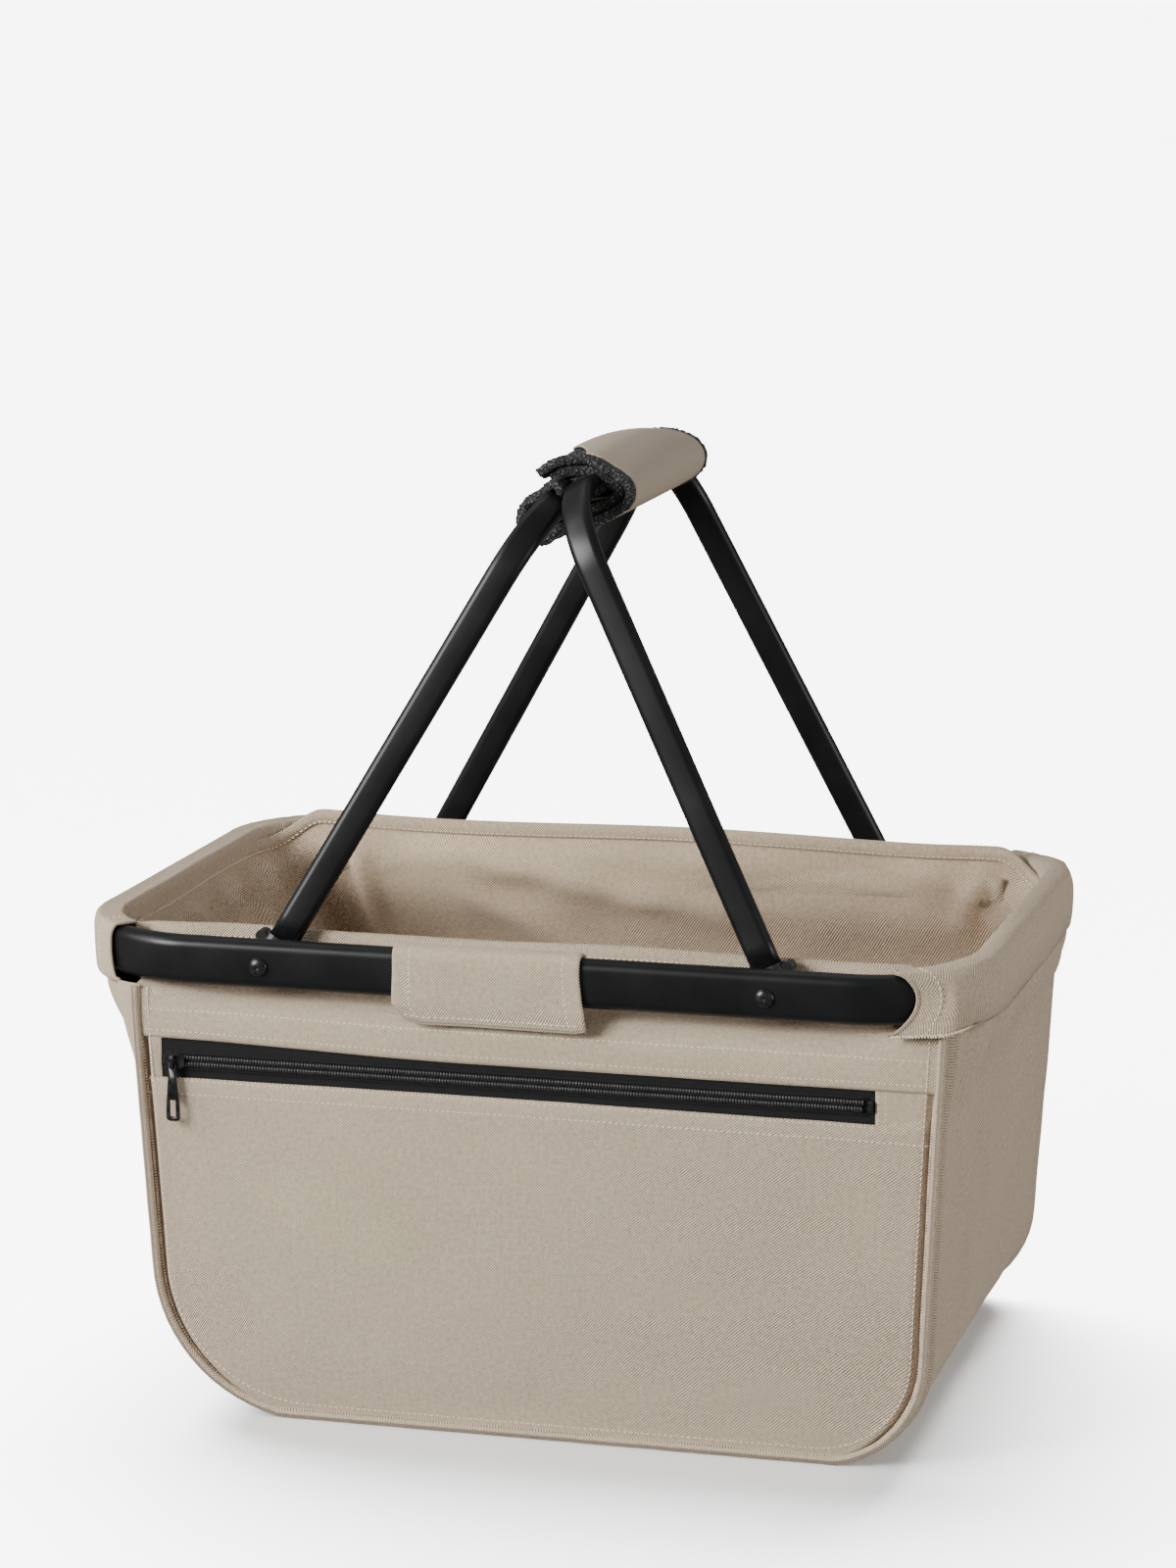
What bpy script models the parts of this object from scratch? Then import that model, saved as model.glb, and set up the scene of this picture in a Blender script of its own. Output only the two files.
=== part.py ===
"""Folding carry basket: flat-oval tube rim, two swinging bails, sewn bag with a zip pocket.

Frame: X along the long side, -Y to the zip side, +Z up; the origin is on the ground under the rim's
centre.  Metres.  The rim, the bails and the fittings are rigid; the bag is thin closed sheets.
"""
import math

import bmesh
import bpy
from mathutils import Matrix, Vector

# ---------------------------------------------------------------- driving dimensions
GAP = 0.0003                    # clearance between touching pieces

RIM_HALF_LENGTH = 0.235         # outside of the rim tube, along X
RIM_HALF_DEPTH = 0.162          # outside of the rim tube, along Y
RIM_CORNER = 0.065              # outer corner radius of the loop
RIM_HEIGHT = 0.025
RIM_THICK = 0.012
RIM_EDGE = 0.0054               # rounding of the tube's section
RIM_Z = 0.240                   # height of the tube's middle
TUBE_WALL = 0.0012
JOINER_HALF = 0.030             # half length of the plug in each butt joint

PIVOT_X = 0.130
PIVOT_Z = 0.2394
LEG_Y = 0.138                   # middle of a leg at its pivot
LEG_CLOSE = 0.12                # how far the legs close in per metre of leg
LEG_WIDTH = 0.0155
LEG_THICK = 0.0080
LEG_EDGE = 0.0038
LEG_START = 0.007               # the leg tube starts this far above its pivot
BAIL_LENGTH = 0.262             # pivot to the middle of the crossbar
BAIL_BEND = 0.045
LEAN = {"left": 30.1, "right": 26.6}    # degrees from upright, towards the middle
SIDE_SIGN = {"left": -1, "right": 1}

RIVET_RADIUS = 0.0025
RIVET_HEAD = 0.0048
RIVET_DOME = 0.0024
RIVET_WASHER = 0.0012
FITTING_INNER_Y = 0.1285
FITTING_EYE = 0.0092
FITTING_WIDTH = 0.0180
FITTING_THICK = 0.0112
FITTING_EDGE = 0.0045            # rounding of the socket's section
FITTING_TOP = 0.0105
STOP_LUMP = 0.0030              # a small round stop on the leg's outer side
STOP_HALF_WIDTH = 0.0040
STOP_OUT = 0.0104               # middle of the stop, from the leg's middle line
STOP_HEIGHT = 0.0070            # and above the pivot

BAG_X = 0.0105                  # the sewn bag hangs a little to the right of the rim's centre
BAG_HALF_LOW = 0.198            # half length of the front panel at the floor
BAG_SPREAD = 0.048              # how much a side leans out per metre of height
BAG_CORNER_LEFT = 0.076
BAG_CORNER_RIGHT = 0.054
BAG_FLARE_Z = 0.200             # the end walls turn out to the rim above this height
BAG_TOP_Z = 0.2236
BAG_FRONT_LOW = 0.1502
BAG_FRONT_HIGH = 0.1590
HEM_FRONT_Y = 0.1260
HEM_BACK_Y = 0.1228
HEM_FRONT_Z = 0.2520
HEM_BACK_Z = 0.2600
CLOTH = 0.0014                  # thickness of the outer cloth
LINING = 0.0012
LINING_SET = 0.0022             # the inner front wall stands this far behind the outer face
PIPING = 0.0023
PIPING_TOP = 0.2220
BOARD = 0.0025

HEM_HALF = 0.196                # inside the rim the upstanding hems end this far from the middle
SHELF_KNOTS = ((0.207, 0.1585), (0.2150, 0.1530), (0.2205, 0.1440))    # (z, y) of the cloth under the rim
SHELF_END = ((0.2240, 0.007), (0.2285, 0.0), (1.0, 0.0))    # (z, y beyond the hem) where it turns up
BAND_TOP = 0.2150               # the outer band above the zip ends here
WALL_MIDDLE_Z = 0.14            # the one row of points between the round corners and the zip
CORNER_STEPS = 7
ROW_PITCH = 0.0012              # rows of points closer than this are merged
FLARE_HALF = 0.109              # half depth of an end wall where it meets the rim
BOARD_SIDE = 0.004              # clearance of the floor board at its ends
BOARD_REACH = 0.002             # and at its long sides

ZIP_LOW = 0.1787                # the opening that shows the zip tapes
ZIP_HIGH = 0.1963
ZIP_LEFT = -0.1835
ZIP_RIGHT = 0.1848
TAPE = 0.0007
COIL_HEIGHT = 0.0021
COIL_DEPTH = 0.0016
COIL_EDGE = 0.0007
COIL_LEFT = 0.002               # the coils start this far inside the opening
COIL_RIGHT = 0.004
COIL_GAP = 0.00015              # half the gap between the two rows
TAPE_SET = 0.0008               # the tapes lie this far behind the front face
PATCH_INSET = 0.0004
STOP_SIZE = (0.0030, 0.0020, 0.0060, 0.0009)    # zip stop: length, depth, height, rounding
SLIDER_LENGTH = 0.0120
SLIDER_WIDTH = 0.0084
SLIDER_PLATE = 0.0012
PULLER_LENGTH = 0.0305
PULLER_WIDTH = 0.0056
PULLER_THICK = 0.0012
PULLER_TOP = 0.0006              # above the hinge
BRIDGE_OUT = 0.0039
BRIDGE_STOCK = 0.0009
TUNNEL = 0.0022                 # clear depth under the bridge
SLIDER_HOME = 0.0008            # left end of the slider from the opening's left end
# the slider's outline as shares of its length and width
SLIDER_SHAPE = ((-0.5, 0.55), (-0.42, 0.86), (-0.15, 1.0), (0.25, 0.92), (0.5, 0.60))
BRIDGE_ARCH = ((-0.0030, -0.0008), (-0.0030, -0.0034), (-0.0020, -BRIDGE_OUT), (0.0020, -BRIDGE_OUT),
               (0.0030, -0.0034), (0.0030, -0.0008))    # (z, y) on the slider
PIN_Z = -0.0010                 # the puller's hinge, from the slider's middle
EYE = (0.0032, -0.0058, -0.0007)    # puller's upper eye: width, lowest z, highest z
SLOT = (0.0030, 0.0014, 0.0090)     # its long eye: width, lowest and highest z from its lower end

TAB_X = -0.010                  # the middle of the sewn tabs on the long sides
TAB_HALF = 0.0485
TAB_LOW = 0.2165
SLEEVE_FRONT_X = {"left": -0.2057, "right": 0.2015}
SLEEVE_SLACK = 0.0006
TAB_BACK_LOW = -0.008           # the tab's inner end, from the tube's middle
FOLD = 0.0018                   # chamfer points of the tab's folds
FOLD_DROP = 0.0014

WRAP_FRONT_Y = -0.066
WRAP_BACK_Y = 0.084
WRAP_LINING = 0.0030
WRAP_SHELL = 0.0011
WRAP_LOOP = 0.0028              # thickness of the left wrap
SHELL_INSET = 0.002             # the shell ends this far inside the lining
# (across, up) from the right crossbar's middle, level and upright: over the bar, round and under
GRIP_LINE = ((-0.0190, 0.0100), (-0.0100, 0.0096), (0.0010, 0.0082), (0.0110, 0.0076), (0.0170, 0.0000),
             (0.0165, -0.0085), (0.0090, -0.0125), (0.0030, -0.0120))
# (across, up the legs) from the left crossbar's middle: it hangs below, open to the upper right
HANGING_LINE = ((-0.0008, 0.0050), (-0.0066, 0.0050), (-0.0102, 0.0010), (-0.0122, -0.0070),
                (-0.0100, -0.0150), (-0.0030, -0.0188), (0.0050, -0.0170), (0.0088, -0.0110))
LEFT_WRAP_Y = (-0.070, 0.072)

# colours (linear base colour, roughness, metallic)
FINISHES = {
    "black_paint": ((0.010, 0.010, 0.011), 0.34, 0.4),
    "black_plastic": ((0.012, 0.012, 0.013), 0.45, 0.0),
    "beige_cloth": ((0.475, 0.405, 0.335), 0.85, 0.0),
    "beige_webbing": ((0.440, 0.380, 0.315), 0.80, 0.0),
    "black_loop": ((0.012, 0.012, 0.012), 0.95, 0.0),
    "black_tape": ((0.014, 0.014, 0.015), 0.80, 0.0),
    "zip_metal": ((0.020, 0.020, 0.022), 0.30, 0.8),
    "grey_board": ((0.160, 0.150, 0.140), 0.80, 0.0),
}


# ---------------------------------------------------------------- general helpers
def clear_scene():
    for old in list(bpy.data.objects):
        bpy.data.objects.remove(old, do_unlink=True)


def finish_material(name):
    material = bpy.data.materials.get(name)
    if material is None:
        material = bpy.data.materials.new(name)
        material.use_nodes = True
        colour, roughness, metallic = FINISHES[name]
        shader = material.node_tree.nodes["Principled BSDF"]
        shader.inputs["Base Color"].default_value = (*colour, 1.0)
        shader.inputs["Roughness"].default_value = roughness
        shader.inputs["Metallic"].default_value = metallic
    return material


def add_object(name, vertices, faces, finish, smooth_angle=40.0):
    mesh = bpy.data.meshes.new(name)
    mesh.from_pydata([tuple(v) for v in vertices], [], faces)
    work = bmesh.new()
    work.from_mesh(mesh)
    bmesh.ops.recalc_face_normals(work, faces=work.faces)
    work.to_mesh(mesh)
    work.free()
    mesh.materials.append(finish_material(finish))
    mesh.shade_smooth()
    mesh.set_sharp_from_angle(angle=math.radians(smooth_angle))
    obj = bpy.data.objects.new(name, mesh)
    bpy.context.scene.collection.objects.link(obj)
    return obj


def add_empty(name, location, lean=0.0, parent=None):
    empty = bpy.data.objects.new(name, None)
    bpy.context.scene.collection.objects.link(empty)
    empty.location = location
    empty.rotation_euler = (0.0, math.radians(lean), 0.0)
    empty.parent = parent
    return empty


def rounded_rect(width, height, radius, steps=3):
    """Points (a, b) of a rounded rectangle, anticlockwise, the same count for every size."""
    points = []
    corners = ((1, 1, 0), (-1, 1, 90), (-1, -1, 180), (1, -1, 270))
    for side_a, side_b, start in corners:
        centre_a = side_a * (width / 2 - radius)
        centre_b = side_b * (height / 2 - radius)
        for step in range(steps + 1):
            angle = math.radians(start + 90 * step / steps)
            points.append((centre_a + radius * math.cos(angle), centre_b + radius * math.sin(angle)))
    return points


def circle(radius, count):
    turn = 2 * math.pi / count
    return [(radius * math.cos(turn * i), radius * math.sin(turn * i)) for i in range(count)]


def rings_along(frames, section):
    """One ring of points for each frame (origin, first direction, second direction)."""
    return [[origin + a * first + b * second for a, b in section] for origin, first, second in frames]


def sweep(frames, section):
    """A solid bar: the section carried along the frames, with flat ends."""
    rings = rings_along(frames, section)
    count = len(section)
    vertices = [point for ring in rings for point in ring]
    faces = []
    for row in range(len(rings) - 1):
        for i in range(count):
            j = (i + 1) % count
            faces.append((row * count + i, row * count + j, (row + 1) * count + j, (row + 1) * count + i))
    faces.append(tuple(range(count)))
    faces.append(tuple((len(rings) - 1) * count + i for i in range(count)))
    return vertices, faces


def hollow_sweep(frames, outer, inner):
    """A tube with open ends; the two sections have the same number of points."""
    count = len(outer)
    rings = rings_along(frames, outer)
    bores = rings_along(frames, inner)
    vertices = [point for ring in rings + bores for point in ring]
    offset = len(rings) * count
    faces = []
    for row in range(len(rings) - 1):
        for i in range(count):
            j = (i + 1) % count
            low, high = row * count, (row + 1) * count
            faces.append((low + i, low + j, high + j, high + i))
            faces.append((offset + low + i, offset + high + i, offset + high + j, offset + low + j))
    for row in (0, len(rings) - 1):
        for i in range(count):
            j = (i + 1) % count
            low = row * count
            faces.append((low + i, low + j, offset + low + j, offset + low + i))
    return vertices, faces


def sheet_solid(outer, inner):
    """A closed thin solid between two grids of points with the same rows and columns."""
    rows, columns = len(outer), len(outer[0])
    vertices = [point for grid in (outer, inner) for row in grid for point in row]
    offset = rows * columns
    faces = []
    for r in range(rows - 1):
        for c in range(columns - 1):
            a, b = r * columns + c, r * columns + c + 1
            d, e = (r + 1) * columns + c, (r + 1) * columns + c + 1
            faces.append((a, b, e, d))
            faces.append((offset + a, offset + d, offset + e, offset + b))
    border = [c for c in range(columns)]
    border += [r * columns + columns - 1 for r in range(1, rows)]
    border += [(rows - 1) * columns + c for c in range(columns - 2, -1, -1)]
    border += [r * columns for r in range(rows - 2, 0, -1)]
    for i, a in enumerate(border):
        b = border[(i + 1) % len(border)]
        faces.append((a, b, offset + b, offset + a))
    return vertices, faces


def turned(profile, centre, count=20, along=1.0):
    """A solid turned about Y: profile points (distance from the axis, y), ends on the axis."""
    vertices = [Vector((centre[0], profile[0][1] * along, centre[2]))]
    for radius, y in profile[1:-1]:
        for a, b in circle(radius, count):
            vertices.append(Vector((centre[0] + a, y * along, centre[2] + b)))
    vertices.append(Vector((centre[0], profile[-1][1] * along, centre[2])))
    faces = []
    rings = len(profile) - 2
    last = len(vertices) - 1
    for i in range(count):
        j = (i + 1) % count
        faces.append((0, 1 + i, 1 + j))
        for ring in range(rings - 1):
            low, high = 1 + ring * count, 1 + (ring + 1) * count
            faces.append((low + i, high + i, high + j, low + j))
        top = 1 + (rings - 1) * count
        faces.append((top + i, last, top + j))
    return vertices, faces


def cut(target, cutter):
    cutter.hide_render = True
    cutter.display_type = "WIRE"
    modifier = target.modifiers.new("cut_" + cutter.name, "BOOLEAN")
    modifier.operation = "DIFFERENCE"
    modifier.object = cutter


def pin_cutter(name, x, z, y_from, y_to, radius):
    """A round cutter along Y."""
    profile = ((0, y_from), (radius, y_from), (radius, y_to), (0, y_to))
    vertices, faces = turned(profile, (x, 0, z), 20)
    return add_object(name, vertices, faces, "black_plastic")


# ---------------------------------------------------------------- rim
def rim_middle(side, steps=10):
    """Points (position, outward) on the middle line of one half of the rim loop, front to back."""
    sign = SIDE_SIGN[side]
    half_x = RIM_HALF_LENGTH - RIM_THICK / 2
    half_y = RIM_HALF_DEPTH - RIM_THICK / 2
    radius = RIM_CORNER - RIM_THICK / 2
    points = [(Vector((sign * GAP / 2, -half_y, RIM_Z)), Vector((0, -1, 0)))]
    for corner, start in ((-1, -90), (1, 0)):
        centre = Vector((sign * (half_x - radius), corner * (half_y - radius), RIM_Z))
        for step in range(steps + 1):
            angle = math.radians(start + 90 * step / steps)
            out = Vector((sign * math.cos(angle), math.sin(angle), 0))
            points.append((centre + radius * out, out))
    points.append((Vector((sign * GAP / 2, half_y, RIM_Z)), Vector((0, 1, 0))))
    return points


def rim_frames(side):
    return [(position, out, Vector((0, 0, 1))) for position, out in rim_middle(side)]


def build_rim():
    outer = rounded_rect(RIM_THICK, RIM_HEIGHT, RIM_EDGE)
    inner = rounded_rect(RIM_THICK - 2 * TUBE_WALL, RIM_HEIGHT - 2 * TUBE_WALL, RIM_EDGE - TUBE_WALL)
    for side in ("left", "right"):
        vertices, faces = hollow_sweep(rim_frames(side), outer, inner)
        rim = add_object("rim_" + side, vertices, faces, "black_paint")
        for end, sign in (("front", -1), ("back", 1)):
            name = "rivet_hole_{}_{}".format(side, end)
            x = SIDE_SIGN[side] * PIVOT_X
            near = sign * (RIM_HALF_DEPTH + 0.01)
            far = sign * (RIM_HALF_DEPTH - RIM_THICK - 0.01)
            cut(rim, pin_cutter(name, x, PIVOT_Z, near, far, RIVET_RADIUS + GAP))


def build_joiners():
    width = RIM_THICK - 2 * TUBE_WALL - 2 * GAP
    height = RIM_HEIGHT - 2 * TUBE_WALL - 2 * GAP
    section = rounded_rect(width, height, RIM_EDGE - TUBE_WALL - GAP)
    for end, sign in (("front", -1), ("back", 1)):
        y = sign * (RIM_HALF_DEPTH - RIM_THICK / 2)
        frames = [(Vector((x, y, RIM_Z)), Vector((0, 1, 0)), Vector((0, 0, 1)))
                  for x in (-JOINER_HALF, JOINER_HALF)]
        vertices, faces = sweep(frames, section)
        add_object("rim_joiner_" + end, vertices, faces, "black_plastic")


# ---------------------------------------------------------------- bails
def leg_y(height):
    """How far a leg stands from the middle plane at a height above the pivots."""
    return LEG_Y - LEG_CLOSE * height


def bail_frames(steps=8):
    """Frames of a bail in its own plane: Y across, Z up the legs, X the plane's normal."""
    corner = leg_y(BAIL_LENGTH)
    slope = math.atan(LEG_CLOSE)
    sweep_angle = math.pi / 2 - slope
    run = BAIL_BEND * math.tan(sweep_angle / 2)
    leg = Vector((0, LEG_CLOSE, 1)).normalized()
    normal = Vector((1, 0, 0))
    start = Vector((0, -corner, BAIL_LENGTH)) - run * leg
    across = Vector((0, -1, leg.y / leg.z)).normalized()
    centre = start - BAIL_BEND * across
    frames = [(Vector((0, -leg_y(LEG_START), LEG_START)), across, normal)]
    half = []
    for step in range(steps + 1):
        turn = sweep_angle * step / steps
        out = across * math.cos(turn) + leg * math.sin(turn)
        half.append((centre + BAIL_BEND * out, out, normal))
    frames += half
    mirrored = [(Vector((0, -p.y, p.z)), Vector((0, -out.y, out.z)), n) for p, out, n in reversed(frames)]
    return frames + mirrored


def build_bail(side):
    pivot = (SIDE_SIGN[side] * PIVOT_X, 0, PIVOT_Z)
    mount = add_empty("bail_pivot_" + side, pivot, -SIDE_SIGN[side] * LEAN[side])
    outer = rounded_rect(LEG_THICK, LEG_WIDTH, LEG_EDGE)
    bore = rounded_rect(LEG_THICK - 2 * TUBE_WALL, LEG_WIDTH - 2 * TUBE_WALL, LEG_EDGE - TUBE_WALL)
    vertices, faces = hollow_sweep(bail_frames(), outer, bore)
    bail = add_object("bail_" + side, vertices, faces, "black_paint")
    bail.parent = mount
    for end, sign in (("front", -1), ("back", 1)):
        build_fitting(side, end, sign, mount)
    return mount


def build_fitting(side, end, sign, mount):
    """The plastic end of a leg: an eye on the rivet and a socket round the tube."""
    name = "leg_fitting_{}_{}".format(side, end)
    eye_outer = RIM_HALF_DEPTH - RIM_THICK - GAP
    profile = ((0, FITTING_INNER_Y), (FITTING_EYE, FITTING_INNER_Y), (FITTING_EYE, eye_outer), (0, eye_outer))
    vertices, faces = turned(profile, (0, 0, 0), 24, sign)
    fitting = add_object(name, vertices, faces, "black_plastic")
    fitting.parent = mount
    # the socket's sleeve leans in with the leg
    along = Vector((0, -sign * LEG_CLOSE, 1)).normalized()
    across = Vector((0, sign, LEG_CLOSE)).normalized()
    frames = [(Vector((0, sign * leg_y(0), 0)) + along * height, across, Vector((1, 0, 0)))
              for height in (0.0, FITTING_TOP)]
    socket_section = rounded_rect(FITTING_THICK, FITTING_WIDTH, FITTING_EDGE)
    socket = add_object(name + "_socket", *sweep(frames, socket_section), "black_plastic")
    lump_frames = [(Vector((SIDE_SIGN[side] * STOP_OUT, sign * leg_y(STOP_HEIGHT) + y, STOP_HEIGHT)),
                    Vector((1, 0, 0)), Vector((0, 0, 1))) for y in (-STOP_HALF_WIDTH, STOP_HALF_WIDTH)]
    lump = add_object(name + "_stop", *sweep(lump_frames, circle(STOP_LUMP, 16)), "black_plastic")
    for extra in (socket, lump):
        extra.parent = mount
        extra.hide_render = True
        extra.display_type = "WIRE"
        union = fitting.modifiers.new("join_" + extra.name, "BOOLEAN")
        union.operation = "UNION"
        union.object = extra
    bore_frames = [(Vector((0, sign * leg_y(height), height)), across, Vector((1, 0, 0)))
                   for height in (LEG_START - GAP, FITTING_TOP + 0.01)]
    bore_section = rounded_rect(LEG_THICK + 2 * GAP, LEG_WIDTH + 2 * GAP, LEG_EDGE + GAP)
    bore = add_object(name + "_bore", *sweep(bore_frames, bore_section), "black_plastic")
    bore.parent = mount
    cut(fitting, bore)
    hole = pin_cutter(name + "_hole", 0, 0, sign * 0.12, sign * 0.16, RIVET_RADIUS + GAP)
    hole.parent = mount
    cut(fitting, hole)


def build_rivets():
    """Domed rivets through the rim and the eyes, with a washer formed on the inner end."""
    face = RIM_HALF_DEPTH + GAP
    inner = FITTING_INNER_Y - GAP
    profile = [(0, face + RIVET_DOME)]
    for angle in (22, 45, 68, 90):
        turn = math.radians(angle)
        profile.append((RIVET_HEAD * math.sin(turn), face + RIVET_DOME * math.cos(turn)))
    profile += [(RIVET_RADIUS, face), (RIVET_RADIUS, inner), (RIVET_HEAD, inner)]
    profile += [(RIVET_HEAD, inner - RIVET_WASHER), (0, inner - RIVET_WASHER)]
    for side in ("left", "right"):
        for end, sign in (("front", -1), ("back", 1)):
            x = SIDE_SIGN[side] * PIVOT_X
            vertices, faces = turned(profile, (x, 0, PIVOT_Z), 20, sign)
            add_object("rivet_{}_{}".format(side, end), vertices, faces, "black_paint")


# ---------------------------------------------------------------- grip wraps
def smooth_line(points, per_span=3):
    """A Catmull-Rom curve through 2-D points."""
    ends = [points[0]] + list(points) + [points[-1]]
    line = []
    for i in range(1, len(ends) - 2):
        p0, p1, p2, p3 = (Vector(p) for p in ends[i - 1:i + 3])
        for step in range(per_span):
            t = step / per_span
            line.append(0.5 * (2 * p1 + (p2 - p0) * t + (2 * p0 - 5 * p1 + 4 * p2 - p3) * t * t
                               + (3 * p1 - p0 - 3 * p2 + p3) * t ** 3))
    line.append(Vector(points[-1]))
    return line


def line_normals(line):
    """Left-hand normals of a 2-D line."""
    normals = []
    for i in range(len(line)):
        ahead = line[min(i + 1, len(line) - 1)] - line[max(i - 1, 0)]
        normals.append(Vector((-ahead.y, ahead.x)).normalized())
    return normals


def wrap_solid(line, near, far, y_from, y_to):
    """A curled sheet between two distances from a line in the XZ plane."""
    normals = line_normals(line)
    outer, inner = [], []
    for y in (y_from, y_to):
        outer.append([Vector((p.x + far * n.x, y, p.y + far * n.y)) for p, n in zip(line, normals)])
        inner.append([Vector((p.x + near * n.x, y, p.y + near * n.y)) for p, n in zip(line, normals)])
    return sheet_solid(outer, inner)


def build_wraps(mounts):
    """The right crossbar carries a beige wrap with a loop-pile lining, the left a loop-pile wrap."""
    lean = Matrix.Rotation(-math.radians(LEAN["right"]), 2)
    line = [lean @ p + Vector((0, BAIL_LENGTH)) for p in smooth_line(GRIP_LINE)]
    lining = wrap_solid(line, 0.0, WRAP_LINING, WRAP_FRONT_Y, WRAP_BACK_Y)
    shell_near = WRAP_LINING + GAP
    shell = wrap_solid(line, shell_near, shell_near + WRAP_SHELL, WRAP_FRONT_Y + SHELL_INSET,
                       WRAP_BACK_Y - SHELL_INSET)
    add_object("grip_lining_right", *lining, "black_loop").parent = mounts["right"]
    add_object("grip_shell_right", *shell, "beige_webbing").parent = mounts["right"]
    left_line = [p + Vector((0, BAIL_LENGTH)) for p in smooth_line(HANGING_LINE)]
    wrap = wrap_solid(left_line, 0.0, -WRAP_LOOP, *LEFT_WRAP_Y)
    add_object("grip_wrap_left", *wrap, "black_loop").parent = mounts["left"]


# ---------------------------------------------------------------- bag
def front_y(z):
    """Distance of the bag's outer front face from the middle plane, at a height."""
    if z <= ZIP_HIGH:
        return BAG_FRONT_LOW + (BAG_FRONT_HIGH - BAG_FRONT_LOW) * z / ZIP_HIGH
    return shelf_y(z, HEM_FRONT_Y)


def shelf_y(z, hem):
    """Above the zip the cloth turns in under the rim and stands up inside it."""
    knots = [(ZIP_HIGH, BAG_FRONT_HIGH), *SHELF_KNOTS]
    knots += [(height, hem + beyond) for height, beyond in SHELF_END]
    for (z0, y0), (z1, y1) in zip(knots, knots[1:]):
        if z <= z1:
            return y0 + (y1 - y0) * (z - z0) / (z1 - z0)
    return hem


def back_y(z):
    if z <= ZIP_HIGH:
        return front_y(z)
    return shelf_y(z, HEM_BACK_Y)


def side_x(sign, z):
    """X of the bag's end wall at a height: leaning sides and a round corner at the floor."""
    radius = BAG_CORNER_LEFT if sign < 0 else BAG_CORNER_RIGHT
    half = BAG_HALF_LOW + BAG_SPREAD * min(z, BAG_TOP_Z)
    if z < radius:
        half -= radius - math.sqrt(max(radius ** 2 - (radius - z) ** 2, 0))
    return BAG_X + sign * half


def corner_height(radius, step):
    """Height of one of the CORNER_STEPS points round a floor corner."""
    return radius * (1 - math.cos(math.radians(90 * step / CORNER_STEPS)))


def panel_heights(low, high):
    """Heights for a panel's rows, close together where its outline is round."""
    heights = [low, WALL_MIDDLE_Z, ZIP_HIGH, BAG_FLARE_Z, high]
    for radius in (BAG_CORNER_RIGHT, BAG_CORNER_LEFT):
        heights += [corner_height(radius, step) for step in range(1, CORNER_STEPS + 1)]
    heights += [height for height, _ in SHELF_KNOTS + SHELF_END[:2]]
    kept = sorted(h for h in set(heights) if low <= h <= high)
    rows = [kept[0]]
    for height in kept[1:]:
        if height - rows[-1] > ROW_PITCH:
            rows.append(height)
    rows[-1] = high
    return rows


def hem_limit(sign, z):
    """Inside the rim the upstanding cloth stops short of the end sleeves."""
    edge = side_x(sign, z)
    if z <= BAG_FLARE_Z:
        return edge
    share = min((z - BAG_FLARE_Z) / (BAG_TOP_Z - BAG_FLARE_Z), 1.0)
    return edge + share * (sign * HEM_HALF - edge)


def panel(name, distance, sign, low, high, set_back, thickness, columns=6):
    """One wall panel; distance(z) is its face, sign -1 for the front and +1 for the back."""
    outer, inner = [], []
    for z in panel_heights(low, high):
        left = hem_limit(-1, z)
        right = hem_limit(1, z)
        face = distance(z) - set_back
        xs = [left + (right - left) * c / (columns - 1) for c in range(columns)]
        outer.append([Vector((x, sign * face, z)) for x in xs])
        inner.append([Vector((x, sign * (face - thickness), z)) for x in xs])
    return add_object(name, *sheet_solid(outer, inner), "beige_cloth")


def u_outline():
    """The end-wall line in XZ: down the left, along the floor, up the right; its left side faces in."""
    def side(sign, radius):
        heights = [BAG_FLARE_Z, WALL_MIDDLE_Z]
        heights += [corner_height(radius, step) for step in range(CORNER_STEPS, -1, -1)]
        return [Vector((side_x(sign, height), height)) for height in heights]

    return side(-1, BAG_CORNER_LEFT) + side(1, BAG_CORNER_RIGHT)[::-1]


def build_gusset():
    """One strip: left end wall, floor and right end wall, flaring out to the rim at the top."""
    line = u_outline()
    flare_x = RIM_HALF_LENGTH - RIM_THICK / 2
    line = [Vector((-flare_x, BAG_TOP_Z))] + line + [Vector((flare_x, BAG_TOP_Z))]
    normals = line_normals(line)
    outer, inner = [], []
    for p, n in zip(line, normals):
        z = max(p.y, 0.0)
        reach = front_y(z) - LINING_SET - LINING - GAP
        back_reach = back_y(z) - CLOTH - GAP
        if z > BAG_FLARE_Z + GAP:
            reach = back_reach = FLARE_HALF
        ys = [-reach + (reach + back_reach) * c / 4 for c in range(5)]
        outer.append([Vector((p.x, y, p.y)) for y in ys])
        inner.append([Vector((p.x + CLOTH * n.x, y, p.y + CLOTH * n.y)) for y in ys])
    add_object("gusset", *sheet_solid(outer, inner), "beige_cloth")


def build_piping(name, distance, sign):
    """A cord round the edge of a wall panel, lying on its outer face."""
    ends = [Vector((side_x(side, PIPING_TOP), PIPING_TOP)) for side in (-1, 1)]
    line = ends[:1] + u_outline() + ends[1:]
    normals = line_normals(line)
    frames = []
    for p, n in zip(line, normals):
        centre = p + n * PIPING
        z = max(centre.y, PIPING)
        y = sign * (distance(min(centre.y, BAG_FLARE_Z)) + PIPING + GAP)
        frames.append((Vector((centre.x, y, z)), Vector((n.x, 0, n.y)), Vector((0, 1, 0))))
    add_object(name, *sweep(frames, circle(PIPING, 8)), "beige_cloth")


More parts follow.
